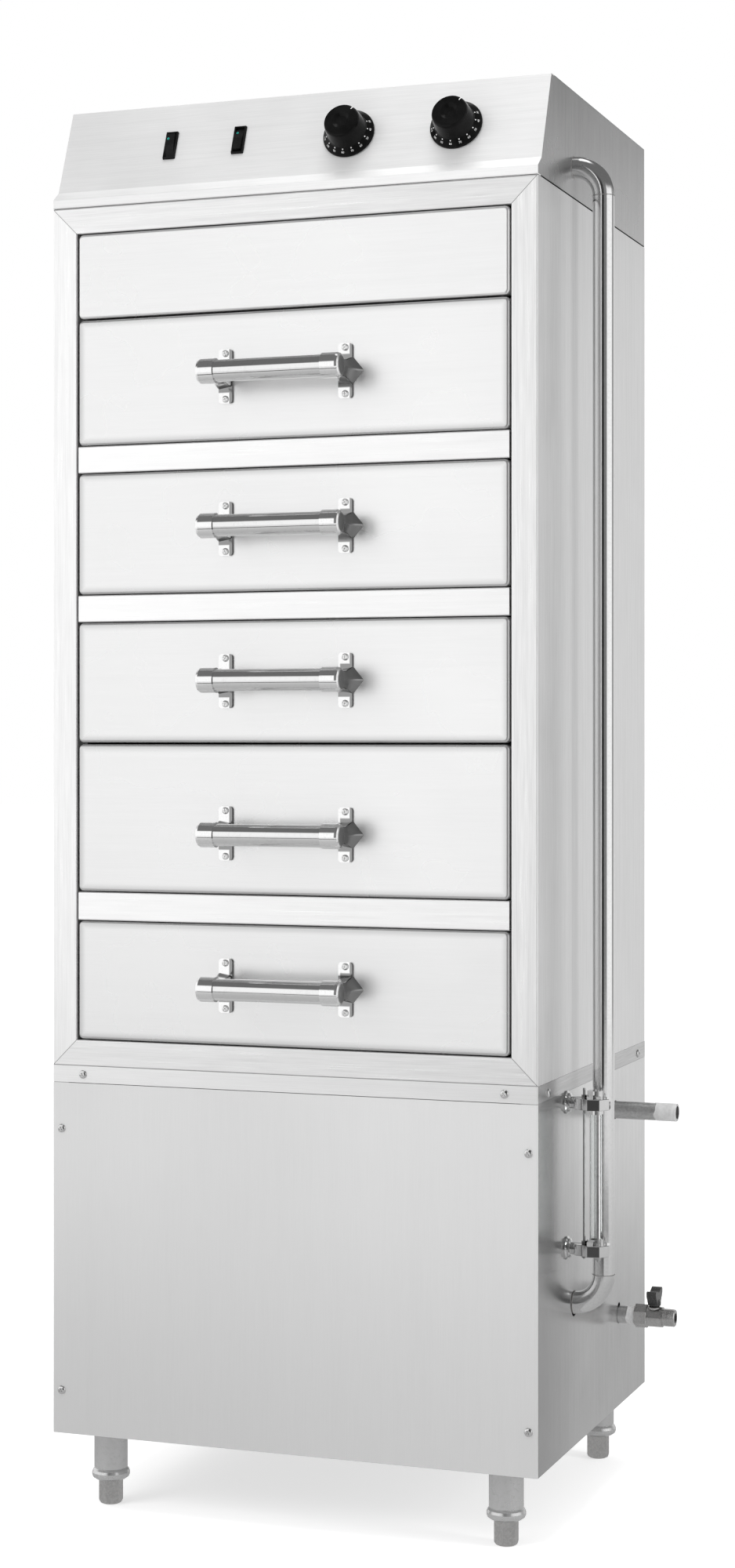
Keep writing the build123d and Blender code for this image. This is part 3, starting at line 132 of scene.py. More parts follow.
def new_tree(name, kind, inputs, outputs):
    """A node group with named inputs {name: (kind, value)} and outputs {name: kind}."""
    tree = bpy.data.node_groups.new(name, kind)
    for label, socket_kind in outputs.items():
        tree.interface.new_socket(label, in_out="OUTPUT", socket_type=socket_kind)
    for label, (socket_kind, value) in inputs.items():
        socket = tree.interface.new_socket(label, in_out="INPUT", socket_type=socket_kind)
        if value is not None:
            socket.default_value = value
    return tree, add_node(tree, "NodeGroupInput").outputs, add_node(tree, "NodeGroupOutput")


FLOAT, VECTOR = "NodeSocketFloat", "NodeSocketVector"
print("node helpers ready")

# %% [markdown]
# ## Sums of values
# Finishes are mostly sums: a value stretched onto another span, a smooth step, a band
# between two places, or a layer, which lays a value over another where its mask is 1.


# %% Value helpers
def math_node(tree, operation, *values):
    """One sum, by its operation's name."""
    return add_node(tree, "ShaderNodeMath", dict(enumerate(values)), operation=operation).outputs[0]


def times(tree, first, second):
    return math_node(tree, "MULTIPLY", first, second)


def minus(tree, first, second):
    return math_node(tree, "SUBTRACT", first, second)


def remap(tree, value, low, high, to_low, to_high, kind="LINEAR"):
    """Stretches the span from low to high onto another, and stops at its ends."""
    spans = {"From Min": low, "From Max": high, "To Min": to_low, "To Max": to_high}
    sockets = {"Value": value, **spans}
    made = add_node(tree, "ShaderNodeMapRange", sockets, clamp=True, interpolation_type=kind)
    return made.outputs["Result"]


def ramp(tree, value, low, high, to_low, to_high):
    """A smooth step between two values."""
    return remap(tree, value, low, high, to_low, to_high, "SMOOTHSTEP")


def band(tree, value, low, high, soft):
    """1 between low and high and 0 outside, with soft edges."""
    rise = ramp(tree, value, low - soft, low + soft, 0.0, 1.0)
    return times(tree, rise, ramp(tree, value, high - soft, high + soft, 1.0, 0.0))


def layer(tree, below, mask, value):
    return add_node(tree, "ShaderNodeMix", {0: mask, 2: below, 3: value}).outputs[0]


def split(tree, vector):
    return add_node(tree, "ShaderNodeSeparateXYZ", {0: vector}).outputs


print("value helpers ready")

# %% [markdown]
# ## Grain, clouds and pits
# Brushed sheet has fine parallel scratches: a noise that is very long one way and very
# short the other. Two sizes of it together look less like a comb. The grain comes out as a
# shade for the colour and as a height for a bump, so that reflections spread across it.
# Handling leaves soft clouds on any sheet, and cast or dipped metal is pitted instead.

# %% Shared effects
FINE_SHARE = 0.6
PITTED = {"Shade": FLOAT, "Height": FLOAT}


def noise(tree, vector, scale, detail, **more):
    sockets = {"Vector": vector, "Scale": scale, "Detail": detail, **more}
    return add_node(tree, "ShaderNodeTexNoise", sockets).outputs["Fac"]


def build_grain():
    inputs = {"Vector": (VECTOR, None), "Fine": (FLOAT, 900.0), "Coarse": (FLOAT, 160.0)}
    tree, given, out = new_tree("brushed_grain", "ShaderNodeTree", inputs, PITTED)
    fine = noise(tree, given["Vector"], given["Fine"], 2.0)
    coarse = noise(tree, given["Vector"], given["Coarse"], 3.0)
    coarse_share = times(tree, coarse, 1 - FINE_SHARE)
    mixed = math_node(tree, "ADD", times(tree, fine, FINE_SHARE), coarse_share)
    fill(tree, out, {"Shade": remap(tree, mixed, 0.3, 0.7, 0.0, 1.0), "Height": fine})
    return tree


def build_clouds():
    inputs = {"Vector": (VECTOR, None), "Scale": (FLOAT, 5.0)}
    outputs = {"Cloud": FLOAT, "Smear": FLOAT}
    tree, given, out = new_tree("handling_clouds", "ShaderNodeTree", inputs, outputs)
    cloud = noise(tree, given["Vector"], given["Scale"], 3.0, Roughness=0.6)
    quick = times(tree, given["Scale"], 7.0)
    smear = noise(tree, given["Vector"], quick, 4.0, Distortion=0.8)
    cloud, smear = remap(tree, cloud, 0.3, 0.7, 0, 1), remap(tree, smear, 0.52, 0.72, 0, 1)
    fill(tree, out, {"Cloud": cloud, "Smear": smear})
    return tree


def build_pits():
    inputs = {"Vector": (VECTOR, None), "Scale": (FLOAT, 300.0)}
    tree, given, out = new_tree("cast_pits", "ShaderNodeTree", inputs, PITTED)
    grit = noise(tree, given["Vector"], given["Scale"], 4.0)
    sockets = {"Vector": given["Vector"], "Scale": given["Scale"]}
    cells = add_node(tree, "ShaderNodeTexVoronoi", sockets).outputs["Color"]
    spangle = add_node(tree, "ShaderNodeSeparateColor", {0: cells}).outputs[0]
    mixed = math_node(tree, "ADD", times(tree, grit, 0.5), times(tree, spangle, 0.5))
    fill(tree, out, {"Shade": mixed, "Height": grit})
    return tree


GRAIN, CLOUDS, PITS = build_grain(), build_clouds(), build_pits()
print("effect groups:", GRAIN.name, CLOUDS.name, PITS.name)

# %% [markdown]
# ## The parts of a finish
# Every finish starts from the same shader, reads the place on the object, and puts the
# shared groups there. A brushed one squeezes its pattern along one axis with a Mapping
# node. A bump turns a height into small slopes, and a fade is painted shade: a colour that
# changes slowly across a panel, or darkens towards its edges, in place of uneven light.


# %% Parts of a finish
def start_material(name):
    material = bpy.data.materials.new(name)
    material.use_nodes = True
    tree = material.node_tree
    place = add_node(tree, "ShaderNodeTexCoord").outputs["Object"]
    return material, tree, tree.nodes["Principled BSDF"], place


def place_group(tree, group, sockets):
    return add_node(tree, "ShaderNodeGroup", sockets, node_tree=group).outputs


def brushed(tree, place, squeeze, fine=900.0, coarse=160.0):
    """The grain group, its pattern drawn out along the axis that squeeze makes small."""
    along = add_node(tree, "ShaderNodeMapping", {"Vector": place, "Scale": squeeze})
    sockets = {"Vector": along.outputs["Vector"], "Fine": fine, "Coarse": coarse}
    return place_group(tree, GRAIN, sockets)


def clouded(tree, place, scale=5.0):
    return place_group(tree, CLOUDS, {"Vector": place, "Scale": scale})


def pitted(tree, place, scale):
    return place_group(tree, PITS, {"Vector": place, "Scale": scale})


def mix_colour(tree, factor, first, second, blend="MIX"):
    sockets = {0: factor, 6: first, 7: second}
    return add_node(tree, "ShaderNodeMix", sockets, data_type="RGBA", blend_type=blend).outputs[2]


def bumped(tree, strength, distance, height):
    sockets = {"Strength": strength, "Distance": distance, "Height": height}
    return add_node(tree, "ShaderNodeBump", sockets).outputs["Normal"]


def grey(value, tint=0.0):
    """A grey, warmer with a positive tint and cooler with a negative one."""
    return (value * (1 + tint), value, value * (1 - tint), 1)


def fade(tree, place, axis, start, end, at_start, at_end=1.0):
    """A shade that changes smoothly along X (0), Y (1) or Z (2), between two places."""
    return ramp(tree, split(tree, place)[axis], start, end, at_start, at_end)


def painted_edge_shade(tree, place, node, reach, at_edge):
    """Painted shade that falls off towards the edges of an upright panel, where its folds turn
    away.
    """
    low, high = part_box(node)
    parts = split(tree, place)
    nearest = None
    for axis in (0, 2):
        for end, sign in ((low[axis], 1.0), (high[axis], -1.0)):
            gap = times(tree, minus(tree, parts[axis], end), sign)
            nearest = gap if nearest is None else math_node(tree, "MINIMUM", nearest, gap)
    return ramp(tree, nearest, 0.0, reach, at_edge, 1.0)


FINE_BUMP, DEEP_BUMP = 0.0002, 0.0004
print("finish helpers ready")

# %% [markdown]
# ## Sheet
# One function builds a sheet finish. The grain moves the colour a little, the clouds move
# the roughness, and the grain's height drives a fine bump. The panels differ in how bright
# and how polished they are: the fronts are the palest, the cheeks' darker grey is painted
# shade, and the control box's sides and the base's sides mirror most. Fades paint shade too.

# %% Sheet finishes
ALONG_X = (0.02, 1.0, 1.0)
ALONG_Z = (1.0, 1.0, 0.02)


def sheet_finish(
    name, light, dark, rough, squeeze=ALONG_X, metallic=1.0, bump=0.12, coarse=160.0,
    fades=(), edges=None, mottle=0.0,
):
    """Brushed sheet: two greys for its grain, two ends of its roughness, and painted shades."""
    material, tree, surface, place = start_material(name)
    grain = brushed(tree, place, squeeze, coarse=coarse)
    cloud = clouded(tree, place)["Cloud"]
    colour = mix_colour(tree, grain["Shade"], grey(dark), grey(light))
    # fades and edge shades are painted shade; the mottle is the sheet's own uneven tone
    shades = [fade(tree, place, *given) for given in fades]
    if edges:
        shades.append(painted_edge_shade(tree, place, *edges))
    if mottle:
        shades.append(remap(tree, cloud, 0, 1, 1.0 - mottle, 1.0))
    for shade in shades:
        colour = mix_colour(tree, 1.0, colour, shade, "MULTIPLY")
    fill(tree, surface, {
        "Base Color": colour,
        "Metallic": metallic,
        "Roughness": remap(tree, cloud, 0, 1, *rough),
        "Normal": bumped(tree, bump, FINE_BUMP, grain["Height"]),
    })
    return material


ACROSS = (0, LEFT, LEFT + 0.6)
# painted shade: the slope darkens towards the cabinet's left
SLOPE_FADES = [(*ACROSS, 0.84)]
# painted shade: the blank panel and drawer fronts darken towards the left
FRONT_FADES = [(*ACROSS, 0.91)]
# painted shade: the base's front darkens towards the floor and towards the left
BASE_FADES = [(2, 0.10, 0.48, 0.87), (*ACROSS, 0.89)]
# painted reflection: the base's side darkens near its front, for the dark it mirrors there
BASE_SIDE_FADES = [(1, FRONT + 0.01, FRONT + 0.22, 0.66)]
# painted shade along the edges of each drawer front
EDGE_REACH, EDGE_SHADE = 0.011, 0.68

SIDE_SHEET = sheet_finish(
    "side_sheet", 0.80, 0.68, (0.28, 0.38), ALONG_Z, metallic=0.75, mottle=0.10
)
# painted shade: the cheeks are the same sheet as the sides in a darker grey
CHEEK_SHEET = sheet_finish(
    "cheek_sheet", 0.60, 0.48, (0.22, 0.32), ALONG_Z, metallic=0.85, mottle=0.18
)
SLOPE_SHEET = sheet_finish(
    "slope_sheet", 0.97, 0.89, (0.34, 0.46), metallic=0.42, fades=SLOPE_FADES, mottle=0.06
)
BASE_SIDE = sheet_finish(
    "base_side_sheet", 0.84, 0.74, (0.18, 0.24), ALONG_Z, metallic=0.92, bump=0.06,
    fades=BASE_SIDE_FADES, mottle=0.14,
)
BASE_SHEET = sheet_finish(
    "base_sheet", 0.90, 0.87, (0.42, 0.50), ALONG_Z, metallic=0.6, bump=0.02, coarse=60.0,
    fades=BASE_FADES,
)
POLISHED = {
    "rough": (0.24, 0.32), "metallic": 0.85, "bump": 0.05, "fades": FRONT_FADES, "mottle": 0.05
}
BLANK_SHEET = sheet_finish("blank_sheet", 0.97, 0.93, **POLISHED)
DRAWERS = range(1, 6)
FRONT_SHEETS = {}
for number in DRAWERS:
    edges = (f"drawer_{number}_front", EDGE_REACH, EDGE_SHADE)
    name = f"drawer_{number}_sheet"
    FRONT_SHEETS[number] = sheet_finish(name, 0.97, 0.94, edges=edges, **POLISHED)
INNER_SHEET = sheet_finish("inner_sheet", 0.66, 0.58, (0.30, 0.42))
print("sheet finishes:", [m.name for m in bpy.data.materials if "sheet" in m.name])

# %% [markdown]
# ## The mitred frame
# The frame round the drawers is four strips that meet in mitres, and the grain of each runs
# along its own strip. It is one solid, so the material has to know which strip it is on. A
# point belongs to an upright when it is nearer to the cabinet's side than to the frame's top
# or bottom, which gives the 45 degree joint by itself.

# %% Frame finish
STRIP_WIDTH, RAIL_FROM = 0.032, 0.0315
MITRE_LINE = 0.0005


def frame_finish():
    material, tree, surface, place = start_material("frame_sheet")
    low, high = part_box("front_frame")
    parts = split(tree, place)
    from_middle = math_node(tree, "ABSOLUTE", minus(tree, parts[0], (low.x + high.x) / 2))
    to_side = minus(tree, (high.x - low.x) / 2, from_middle)
    to_bottom = minus(tree, parts[2], low.z)
    to_end = math_node(tree, "MINIMUM", to_bottom, minus(tree, high.z, parts[2]))
    nearer = math_node(tree, "LESS_THAN", to_side, to_end)
    on_strip = math_node(tree, "LESS_THAN", to_side, STRIP_WIDTH)
    upright = times(tree, nearer, on_strip)
    level_grain, tall_grain = (
        brushed(tree, place, squeeze, coarse=200.0)["Shade"] for squeeze in (ALONG_X, ALONG_Z)
    )
    shade = layer(tree, level_grain, upright, tall_grain)
    # painted light and shade: the one steel in three greys, darker on the level strips, lighter on
    # the uprights and lightest on the rails
    level = mix_colour(tree, shade, grey(0.78), grey(0.90))
    tall = mix_colour(tree, shade, grey(0.84), grey(0.96))
    rail = mix_colour(tree, shade, grey(0.95), grey(0.99))
    # the rails are the strips away from all four sides
    from_edge = math_node(tree, "MINIMUM", to_side, to_end)
    on_rail = math_node(tree, "GREATER_THAN", from_edge, RAIL_FROM)
    colour = mix_colour(tree, on_rail, mix_colour(tree, upright, level, tall), rail)
    # the mitre is a fine line, where both distances are the same
    apart = math_node(tree, "ABSOLUTE", minus(tree, to_side, to_end))
    at_mitre = times(tree, math_node(tree, "LESS_THAN", apart, MITRE_LINE), on_strip)
    fill(tree, surface, {
        "Base Color": mix_colour(tree, at_mitre, colour, grey(0.42)),
        "Metallic": 0.8,
        "Roughness": remap(tree, shade, 0, 1, 0.36, 0.26),
        "Normal": bumped(tree, 0.14, FINE_BUMP, shade),
    })
    return material


def rim_finish():
    """The band under the seam: as pale as the front there, with painted shade on its side."""
    material, tree, surface, place = start_material("rim_sheet")
    front_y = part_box("base_rim")[0].y
    grain = brushed(tree, place, (0.02, 0.02, 1.0))
    on_front = fade(tree, place, 1, front_y + 0.0008, front_y + 0.0016, 1.0, 0.0)
    front = mix_colour(tree, grain["Shade"], grey(0.86), grey(0.94))
    # painted shade: the rim's side is the same steel in a much darker grey
    side = mix_colour(tree, grain["Shade"], grey(0.42), grey(0.56))
    fill(tree, surface, {
        "Base Color": mix_colour(tree, on_front, side, front),
        "Metallic": 0.8,
        "Roughness": remap(tree, on_front, 0, 1, 0.18, 0.36),
        "Normal": bumped(tree, 0.1, FINE_BUMP, grain["Height"]),
    })
    return material


FRAME_SHEET, RIM_SHEET = frame_finish(), rim_finish()
print("frame and rim finishes made")

# %% [markdown]
# ## Chrome of the handles
# A bracket's arm and the edges of its tab mirror each other, so they look dark between
# bright faces, and that dark is painted into the colour as a reflection. All ten brackets
# share one finish: it measures from the handles' middle, and a wrap makes the five handles
# one, a pitch apart. Each zone of painted reflection is a band.

# %% Bracket finish
HANDLE_X, TOP_HANDLE_Z, HANDLE_PITCH = 297.7, 1337.3, 176.8
# the bands of painted reflection on the brackets, measured from a handle's middle
# from, to, and the softness of both ends: to the right, up, and out of the drawer
ARM_ASIDE, ARM_LEVEL = (0.068, 0.12, 0.001), (-0.019, 0.019, 0.001)
UNDERSIDE, ARM_OUT = (-0.019, -0.0115, 0.0008), (-0.01, 0.037, 0.0006)
END_FACE = (0.0872, 0.12, 0.0004)
TAB_EDGES = (0.0797, 0.12, 0.0005), (-0.0694, -0.06, 0.0005)
TAB_OUT = (-0.01, 0.006, 0.0005)


def bracket_finish():
    """Chrome of the handle brackets, with painted reflection dark where arms and edges mirror."""
    material, tree, surface, place = start_material("bracket_chrome")
    parts = split(tree, place)
    aside = minus(tree, parts[0], LEFT + HANDLE_X * MM)
    half = HANDLE_PITCH * MM / 2
    level = math_node(tree, "WRAP", minus(tree, parts[2], TOP_HANDLE_Z * MM), half, -half)
    out = minus(tree, FRONT, parts[1])
    arm = times(tree, band(tree, aside, *ARM_ASIDE), band(tree, level, *ARM_LEVEL))
    arm = math_node(tree, "MAXIMUM", arm, band(tree, level, *UNDERSIDE))
    arm = times(tree, arm, band(tree, out, *ARM_OUT))
    edges = math_node(tree, "MAXIMUM", *(band(tree, aside, *edge) for edge in TAB_EDGES))
    edges = times(tree, edges, band(tree, out, *TAB_OUT))
    # painted reflection: these zones turn dark grey where the bracket would mirror its own arm
    dark = math_node(tree, "MAXIMUM", arm, band(tree, aside, *END_FACE))
    dark = math_node(tree, "MAXIMUM", dark, edges)
    clouds = clouded(tree, place, 60.0)
    bright = mix_colour(tree, clouds["Smear"], grey(0.93), grey(0.86))
    fill(tree, surface, {
        "Base Color": mix_colour(tree, dark, bright, grey(0.30)),
        "Metallic": 1.0,
        "Roughness": remap(tree, clouds["Cloud"], 0, 1, 0.06, 0.12),
    })
    return material


BRACKET_CHROME = bracket_finish()
print("bracket chrome made")

# %% [markdown]
# ## Tubes, castings and plated parts
# Drawn tube and chrome are smooth, with faint smears. Castings and dipped pipe are pitted,
# so they share the pits group. The same builder serves them all: it mixes two greys by the
# pits or clouds, and turns the height into a bump.


# %% Cast and plated finishes
def metal_finish(name, light, dark, rough, pits=0.0, scale=300.0, metallic=1.0, tint=0.0):
    """Plated, drawn or cast metal. pits is the strength of its bump, 0 for smooth metal."""
    material, tree, surface, place = start_material(name)
    clouds = clouded(tree, place, scale / 10)
    shade = clouds["Smear"]
    if pits:
        marks = pitted(tree, place, scale)
        shade = marks["Shade"]
        fill(tree, surface, {"Normal": bumped(tree, pits, DEEP_BUMP, marks["Height"])})
    fill(tree, surface, {
        "Base Color": mix_colour(tree, shade, grey(light, tint), grey(dark, tint)),
        "Metallic": metallic,
        "Roughness": remap(tree, clouds["Cloud"], 0, 1, *rough),
    })
    return material


CHROME_TUBE = metal_finish("chrome_tube", 0.84, 0.80, (0.06, 0.11))
CAST_CHROME = metal_finish("cast_chrome", 0.80, 0.70, (0.05, 0.10), 0.05, 90.0)
SCREW_STEEL = metal_finish("screw_steel", 0.82, 0.66, (0.14, 0.24), 0.05, 900.0)
PALE_SCREW = metal_finish("pale_screw", 0.92, 0.80, (0.20, 0.30), 0.05, 900.0, 0.85)
# painted shade: the gauge rods are a darker copy of the steel, for the dark they mirror
ROD_STEEL_SHADED = metal_finish("rod_steel_shaded", 0.50, 0.38, (0.08, 0.16))
CONDUIT_STEEL = metal_finish("conduit_steel", 0.84, 0.76, (0.11, 0.16), 0.03, 500.0)
LEG_STEEL = metal_finish("leg_steel", 0.66, 0.60, (0.20, 0.30), metallic=0.8)
FOOT_METAL = metal_finish("foot_metal", 0.66, 0.46, (0.26, 0.40), 0.25, 500.0, tint=0.01)
DIPPED_PIPE = metal_finish("dipped_pipe", 0.84, 0.58, (0.28, 0.44), 0.4, 420.0)
VALVE_METAL = metal_finish("valve_metal", 0.68, 0.54, (0.22, 0.32), 0.07, 700.0, tint=0.01)
HEATER_METAL = metal_finish("heater_metal", 0.42, 0.32, (0.34, 0.46), 0.1, 300.0)
WELD_METAL = metal_finish("weld_metal", 0.60, 0.34, (0.26, 0.44), 0.3, 900.0, tint=0.02)
print("finishes so far:", len(bpy.data.materials))

# %% [markdown]
# ## Plastics, glass, wool and tape
# The dials are polished black phenolic, the switches a duller black. Black plastic is never
# one flat value: handling leaves a faint bloom on it, which shows in the gloss. The gauge
# glass is clear with a slight green, and keeps plain values on its shader.


# %% Other finishes
def plain_finish(
    name, light, dark, rough, bump=0.0, scale=60.0, grit=700.0, colour=None, shine=0.5
):
    """Plastic, paint, wool or tape: two colours mixed by clouds, with an optional bump."""
    material, tree, surface, place = start_material(name)
    clouds = clouded(tree, place, scale)
    first = colour or grey(light)
    second = tuple(c * dark / light for c in first[:3]) + (1,)
    fill(tree, surface, {
        "Base Color": mix_colour(tree, clouds["Cloud"], first, second),
        "Roughness": remap(tree, clouds["Smear"], 0, 1, *rough),
        "Specular IOR Level": shine,
    })
    if bump:
        height = pitted(tree, place, grit)["Height"]
        fill(tree, surface, {"Normal": bumped(tree, bump, DEEP_BUMP, height)})
    return material


def glass_finish():
    material, tree, surface, place = start_material("gauge_glass_clear")
    clouds = clouded(tree, place, 40.0)
    clear, hazy = (0.99, 1.0, 0.995, 1), (0.95, 0.97, 0.965, 1)
    fill(tree, surface, {
        "Base Color": mix_colour(tree, clouds["Cloud"], clear, hazy),
        "Roughness": remap(tree, clouds["Smear"], 0, 1, 0.0, 0.04),
        "Transmission Weight": 1.0,
        "IOR": 1.47,
    })
    return material


GREEN, WOOL = (0.01, 0.26, 0.22, 1), (0.70, 0.62, 0.42, 1)
DIAL_BLACK = plain_finish("dial_black", 0.004, 0.008, (0.16, 0.24), shine=0.07)
SWITCH_BLACK = plain_finish("switch_black", 0.006, 0.012, (0.24, 0.34), shine=0.07)
GRIP_BLACK = plain_finish("grip_black", 0.03, 0.06, (0.26, 0.42), 0.1)
MARK_WHITE = plain_finish("mark_white", 0.80, 0.66, (0.4, 0.6), scale=400.0)
LENS_GREEN = plain_finish("lens_green", 0.5, 0.3, (0.08, 0.16), colour=GREEN, scale=900.0)
PALE_PLASTIC = plain_finish("pale_plastic", 0.78, 0.70, (0.4, 0.55), 0.05)
MINERAL_WOOL = plain_finish("mineral_wool", 0.62, 0.42, (0.9, 1.0), 0.8, grit=200.0, colour=WOOL)
THREAD_TAPE = plain_finish("thread_tape", 0.84, 0.70, (0.5, 0.7), 0.15, scale=120.0)
GLASS = glass_finish()
print("finishes in all:", len(bpy.data.materials))

# %% [markdown]
# ## Dressing the solids
# Each solid keeps its shape and only changes what is in its material slots.

# %% Assign the finishes
DRESSED_IN = [
    (BASE_SHEET, "base_front"),
    (BASE_SIDE, "base_walls"),
    (RIM_SHEET, "base_rim"),
    (INNER_SHEET, "base_floor liner drawer_runners tank"),
    (SIDE_SHEET, "side_panel_left side_panel_right back_panel"),
    (MINERAL_WOOL, "insulation"),
    (FRAME_SHEET, "front_frame"),
    (BLANK_SHEET, "blank_panel"),
    (SLOPE_SHEET, "control_front"),
    (CHEEK_SHEET, "control_hood control_cheeks"),
    (DIAL_BLACK, "dial_1 dial_2"),
    (SWITCH_BLACK, "rocker_1 rocker_2 switch_housings"),
    (PALE_PLASTIC, "thermostats float_arm"),
    (GRIP_BLACK, "mains_inlet valve_handle"),
    (CONDUIT_STEEL, "conduit_pipe conduit_elbows"),
    (CAST_CHROME, "gauge_fittings"),
    (GLASS, "gauge_glass"),
    (ROD_STEEL_SHADED, "gauge_rods"),
    (HEATER_METAL, "heater_elements"),
    (DIPPED_PIPE, "inlet_pipe drain_nipple"),
    (VALVE_METAL, "valve_body"),
    (LEG_STEEL, "legs"),
    (FOOT_METAL, "foot_front_left foot_front_right foot_rear_left foot_rear_right"),
    (SCREW_STEEL, "cabinet_screws"),
]
FINISH_OF = {name: finish for finish, names in DRESSED_IN for name in names.split()}
for number in DRAWERS:
    drawer = f"drawer_{number}"
    FINISH_OF[f"{drawer}_front"] = FRONT_SHEETS[number]
    FINISH_OF[f"{drawer}_tray"] = INNER_SHEET
    FINISH_OF[f"{drawer}_handle_tube"] = CHROME_TUBE
    FINISH_OF[f"{drawer}_handle_brackets"] = BRACKET_CHROME

for name, solid in nodes.items():
    solid.data.materials.clear()
    solid.data.materials.append(FINISH_OF[name])
print("dressed", len(nodes), "solids")

# %% [markdown]
# ## Growing repeated pieces
# Screws, weld beads and threads repeat, so Geometry Nodes make them. A tree is grown on a
# bare object, its result is copied into a plain mesh, and the modifier goes away again.


# %% Grow helper
def new_mesh(name, verts, faces=()):
    """A plain mesh from its corners and faces."""
    mesh = bpy.data.meshes.new(name)
    mesh.from_pydata([tuple(v) for v in verts], [], faces)
    return mesh


def keep(name, mesh, body):
    """Turns a finished mesh into a piece of the object."""
    mesh.name = name
    piece = new_object(name, mesh)
    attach(piece, body)
    return piece


def plain_copy(carrier):
    """An object's final shape as a plain mesh, without the object."""
    evaluated = carrier.evaluated_get(bpy.context.evaluated_depsgraph_get())
    mesh = bpy.data.meshes.new_from_object(evaluated)
    bpy.data.objects.remove(carrier)
    return mesh


def grow(name, tree, settings, body, base=None, place=None):
    """Runs a geometry tree and keeps its result as a plain mesh that rides on a body."""
    carrier = new_object(f"{name}_carrier", base or bpy.data.meshes.new(f"{name}_base"))
    modifier = carrier.modifiers.new("grow", "NODES")
    modifier.node_group = tree
    for socket in tree.interface.items_tree:
        if socket.in_out == "INPUT" and socket.name in settings:
            modifier[socket.identifier] = settings[socket.name]
    carrier.update_tag()
    mesh = plain_copy(carrier)
    if place is not None:
        mesh.transform(place)
    return keep(name, mesh, body)


GEOMETRY, MATERIAL, INTEGER = "NodeSocketGeometry", "NodeSocketMaterial", "NodeSocketInt"


def geometry_tree(name, inputs):
    inputs = {**inputs, "Material": (MATERIAL, None)}
    return new_tree(name, "GeometryNodeTree", inputs, {"Geometry": GEOMETRY})


def end_tree(tree, out, geometry, given):
    """The end of every tree: real geometry, with its material."""
    real = add_node(tree, "GeometryNodeRealizeInstances", {0: geometry}).outputs[0]
    sockets = {"Geometry": real, "Material": given["Material"]}
    fill(tree, out, {"Geometry": add_node(tree, "GeometryNodeSetMaterial", sockets).outputs[0]})
    return tree


print("grow helper ready")

# %% [markdown]
# ## Pan-head screws
# The brackets of the handles are fixed by pan heads with a cross recess, and so is the back
# of the cabinet. The head is a short cylinder under a cone, less two crossed bars. Each
# screw was driven home by hand, so its cross stops at its own angle, from a fixed seed.

# %% Screw tree
HEAD_SIDES = 20
RIM_SHARE, CROWN_SHARE = 0.4, 0.6
CROWN_TOP = 0.62
BAR_LENGTH, BAR_LIFT = 1.15, 1.05


def vector(tree, x=0.0, y=0.0, z=0.0):
    return add_node(tree, "ShaderNodeCombineXYZ", {0: x, 1: y, 2: z}).outputs[0]


def cone(tree, bottom, top, depth):
    sockets = {
        "Vertices": HEAD_SIDES, "Radius Top": top, "Radius Bottom": bottom, "Depth": depth
    }
    return add_node(tree, "GeometryNodeMeshCone", sockets).outputs["Mesh"]


def lifted(tree, geometry, height):
    sockets = {"Geometry": geometry, "Translation": vector(tree, z=height)}
    return add_node(tree, "GeometryNodeTransform", sockets).outputs[0]


def build_screw_tree():
    tree, given, out = geometry_tree("pan_head_screws", {
        "Geometry": (GEOMETRY, None),
        "Head Radius": (FLOAT, 0.0036),
        "Head Height": (FLOAT, 0.0016),
        "Recess Width": (FLOAT, 0.0008),
        "Facing": (VECTOR, (0, 0, 0)),
        "Seed": (INTEGER, 3),
    })
    radius, height, width = (given[f] for f in ("Head Radius", "Head Height", "Recess Width"))
    rim_height = times(tree, height, RIM_SHARE)
    rim = cone(tree, radius, radius, rim_height)
    crown = cone(tree, radius, times(tree, radius, CROWN_TOP), times(tree, height, CROWN_SHARE))
    length = times(tree, radius, BAR_LENGTH)
    bars = []
    for first, second in ((length, width), (width, length)):
        size = {"Size": vector(tree, first, second, height)}
        bar = add_node(tree, "GeometryNodeMeshCube", size).outputs[0]
        bars.append(lifted(tree, bar, times(tree, height, BAR_LIFT)))
    sockets = {"Mesh 1": lifted(tree, crown, rim_height), "Mesh 2": bars}
    cut = add_node(tree, "GeometryNodeMeshBoolean", sockets, operation="DIFFERENCE").outputs[0]
    head = add_node(tree, "GeometryNodeJoinGeometry", {0: [cut, rim]}).outputs[0]
    sockets = {"Points": given["Geometry"], "Instance": head, "Rotation": given["Facing"]}
    placed = add_node(tree, "GeometryNodeInstanceOnPoints", sockets).outputs[0]
    sockets = {2: 0.0, 3: math.pi / 2, "Seed": given["Seed"]}
    spin = add_node(tree, "FunctionNodeRandomValue", sockets, data_type="FLOAT").outputs[1]
    sockets = {"Instances": placed, "Rotation": vector(tree, z=spin)}
    spun = add_node(tree, "GeometryNodeRotateInstances", sockets).outputs[0]
    return end_tree(tree, out, spun, given)


SCREWS = build_screw_tree()
print("screw tree:", len(SCREWS.nodes), "nodes")

# %% [markdown]
# ## Where the screws go
# Each handle has two brackets with two screws each, larger and paler than the rest. The
# back of the cabinet has rows of them, along the edges of its three panels.

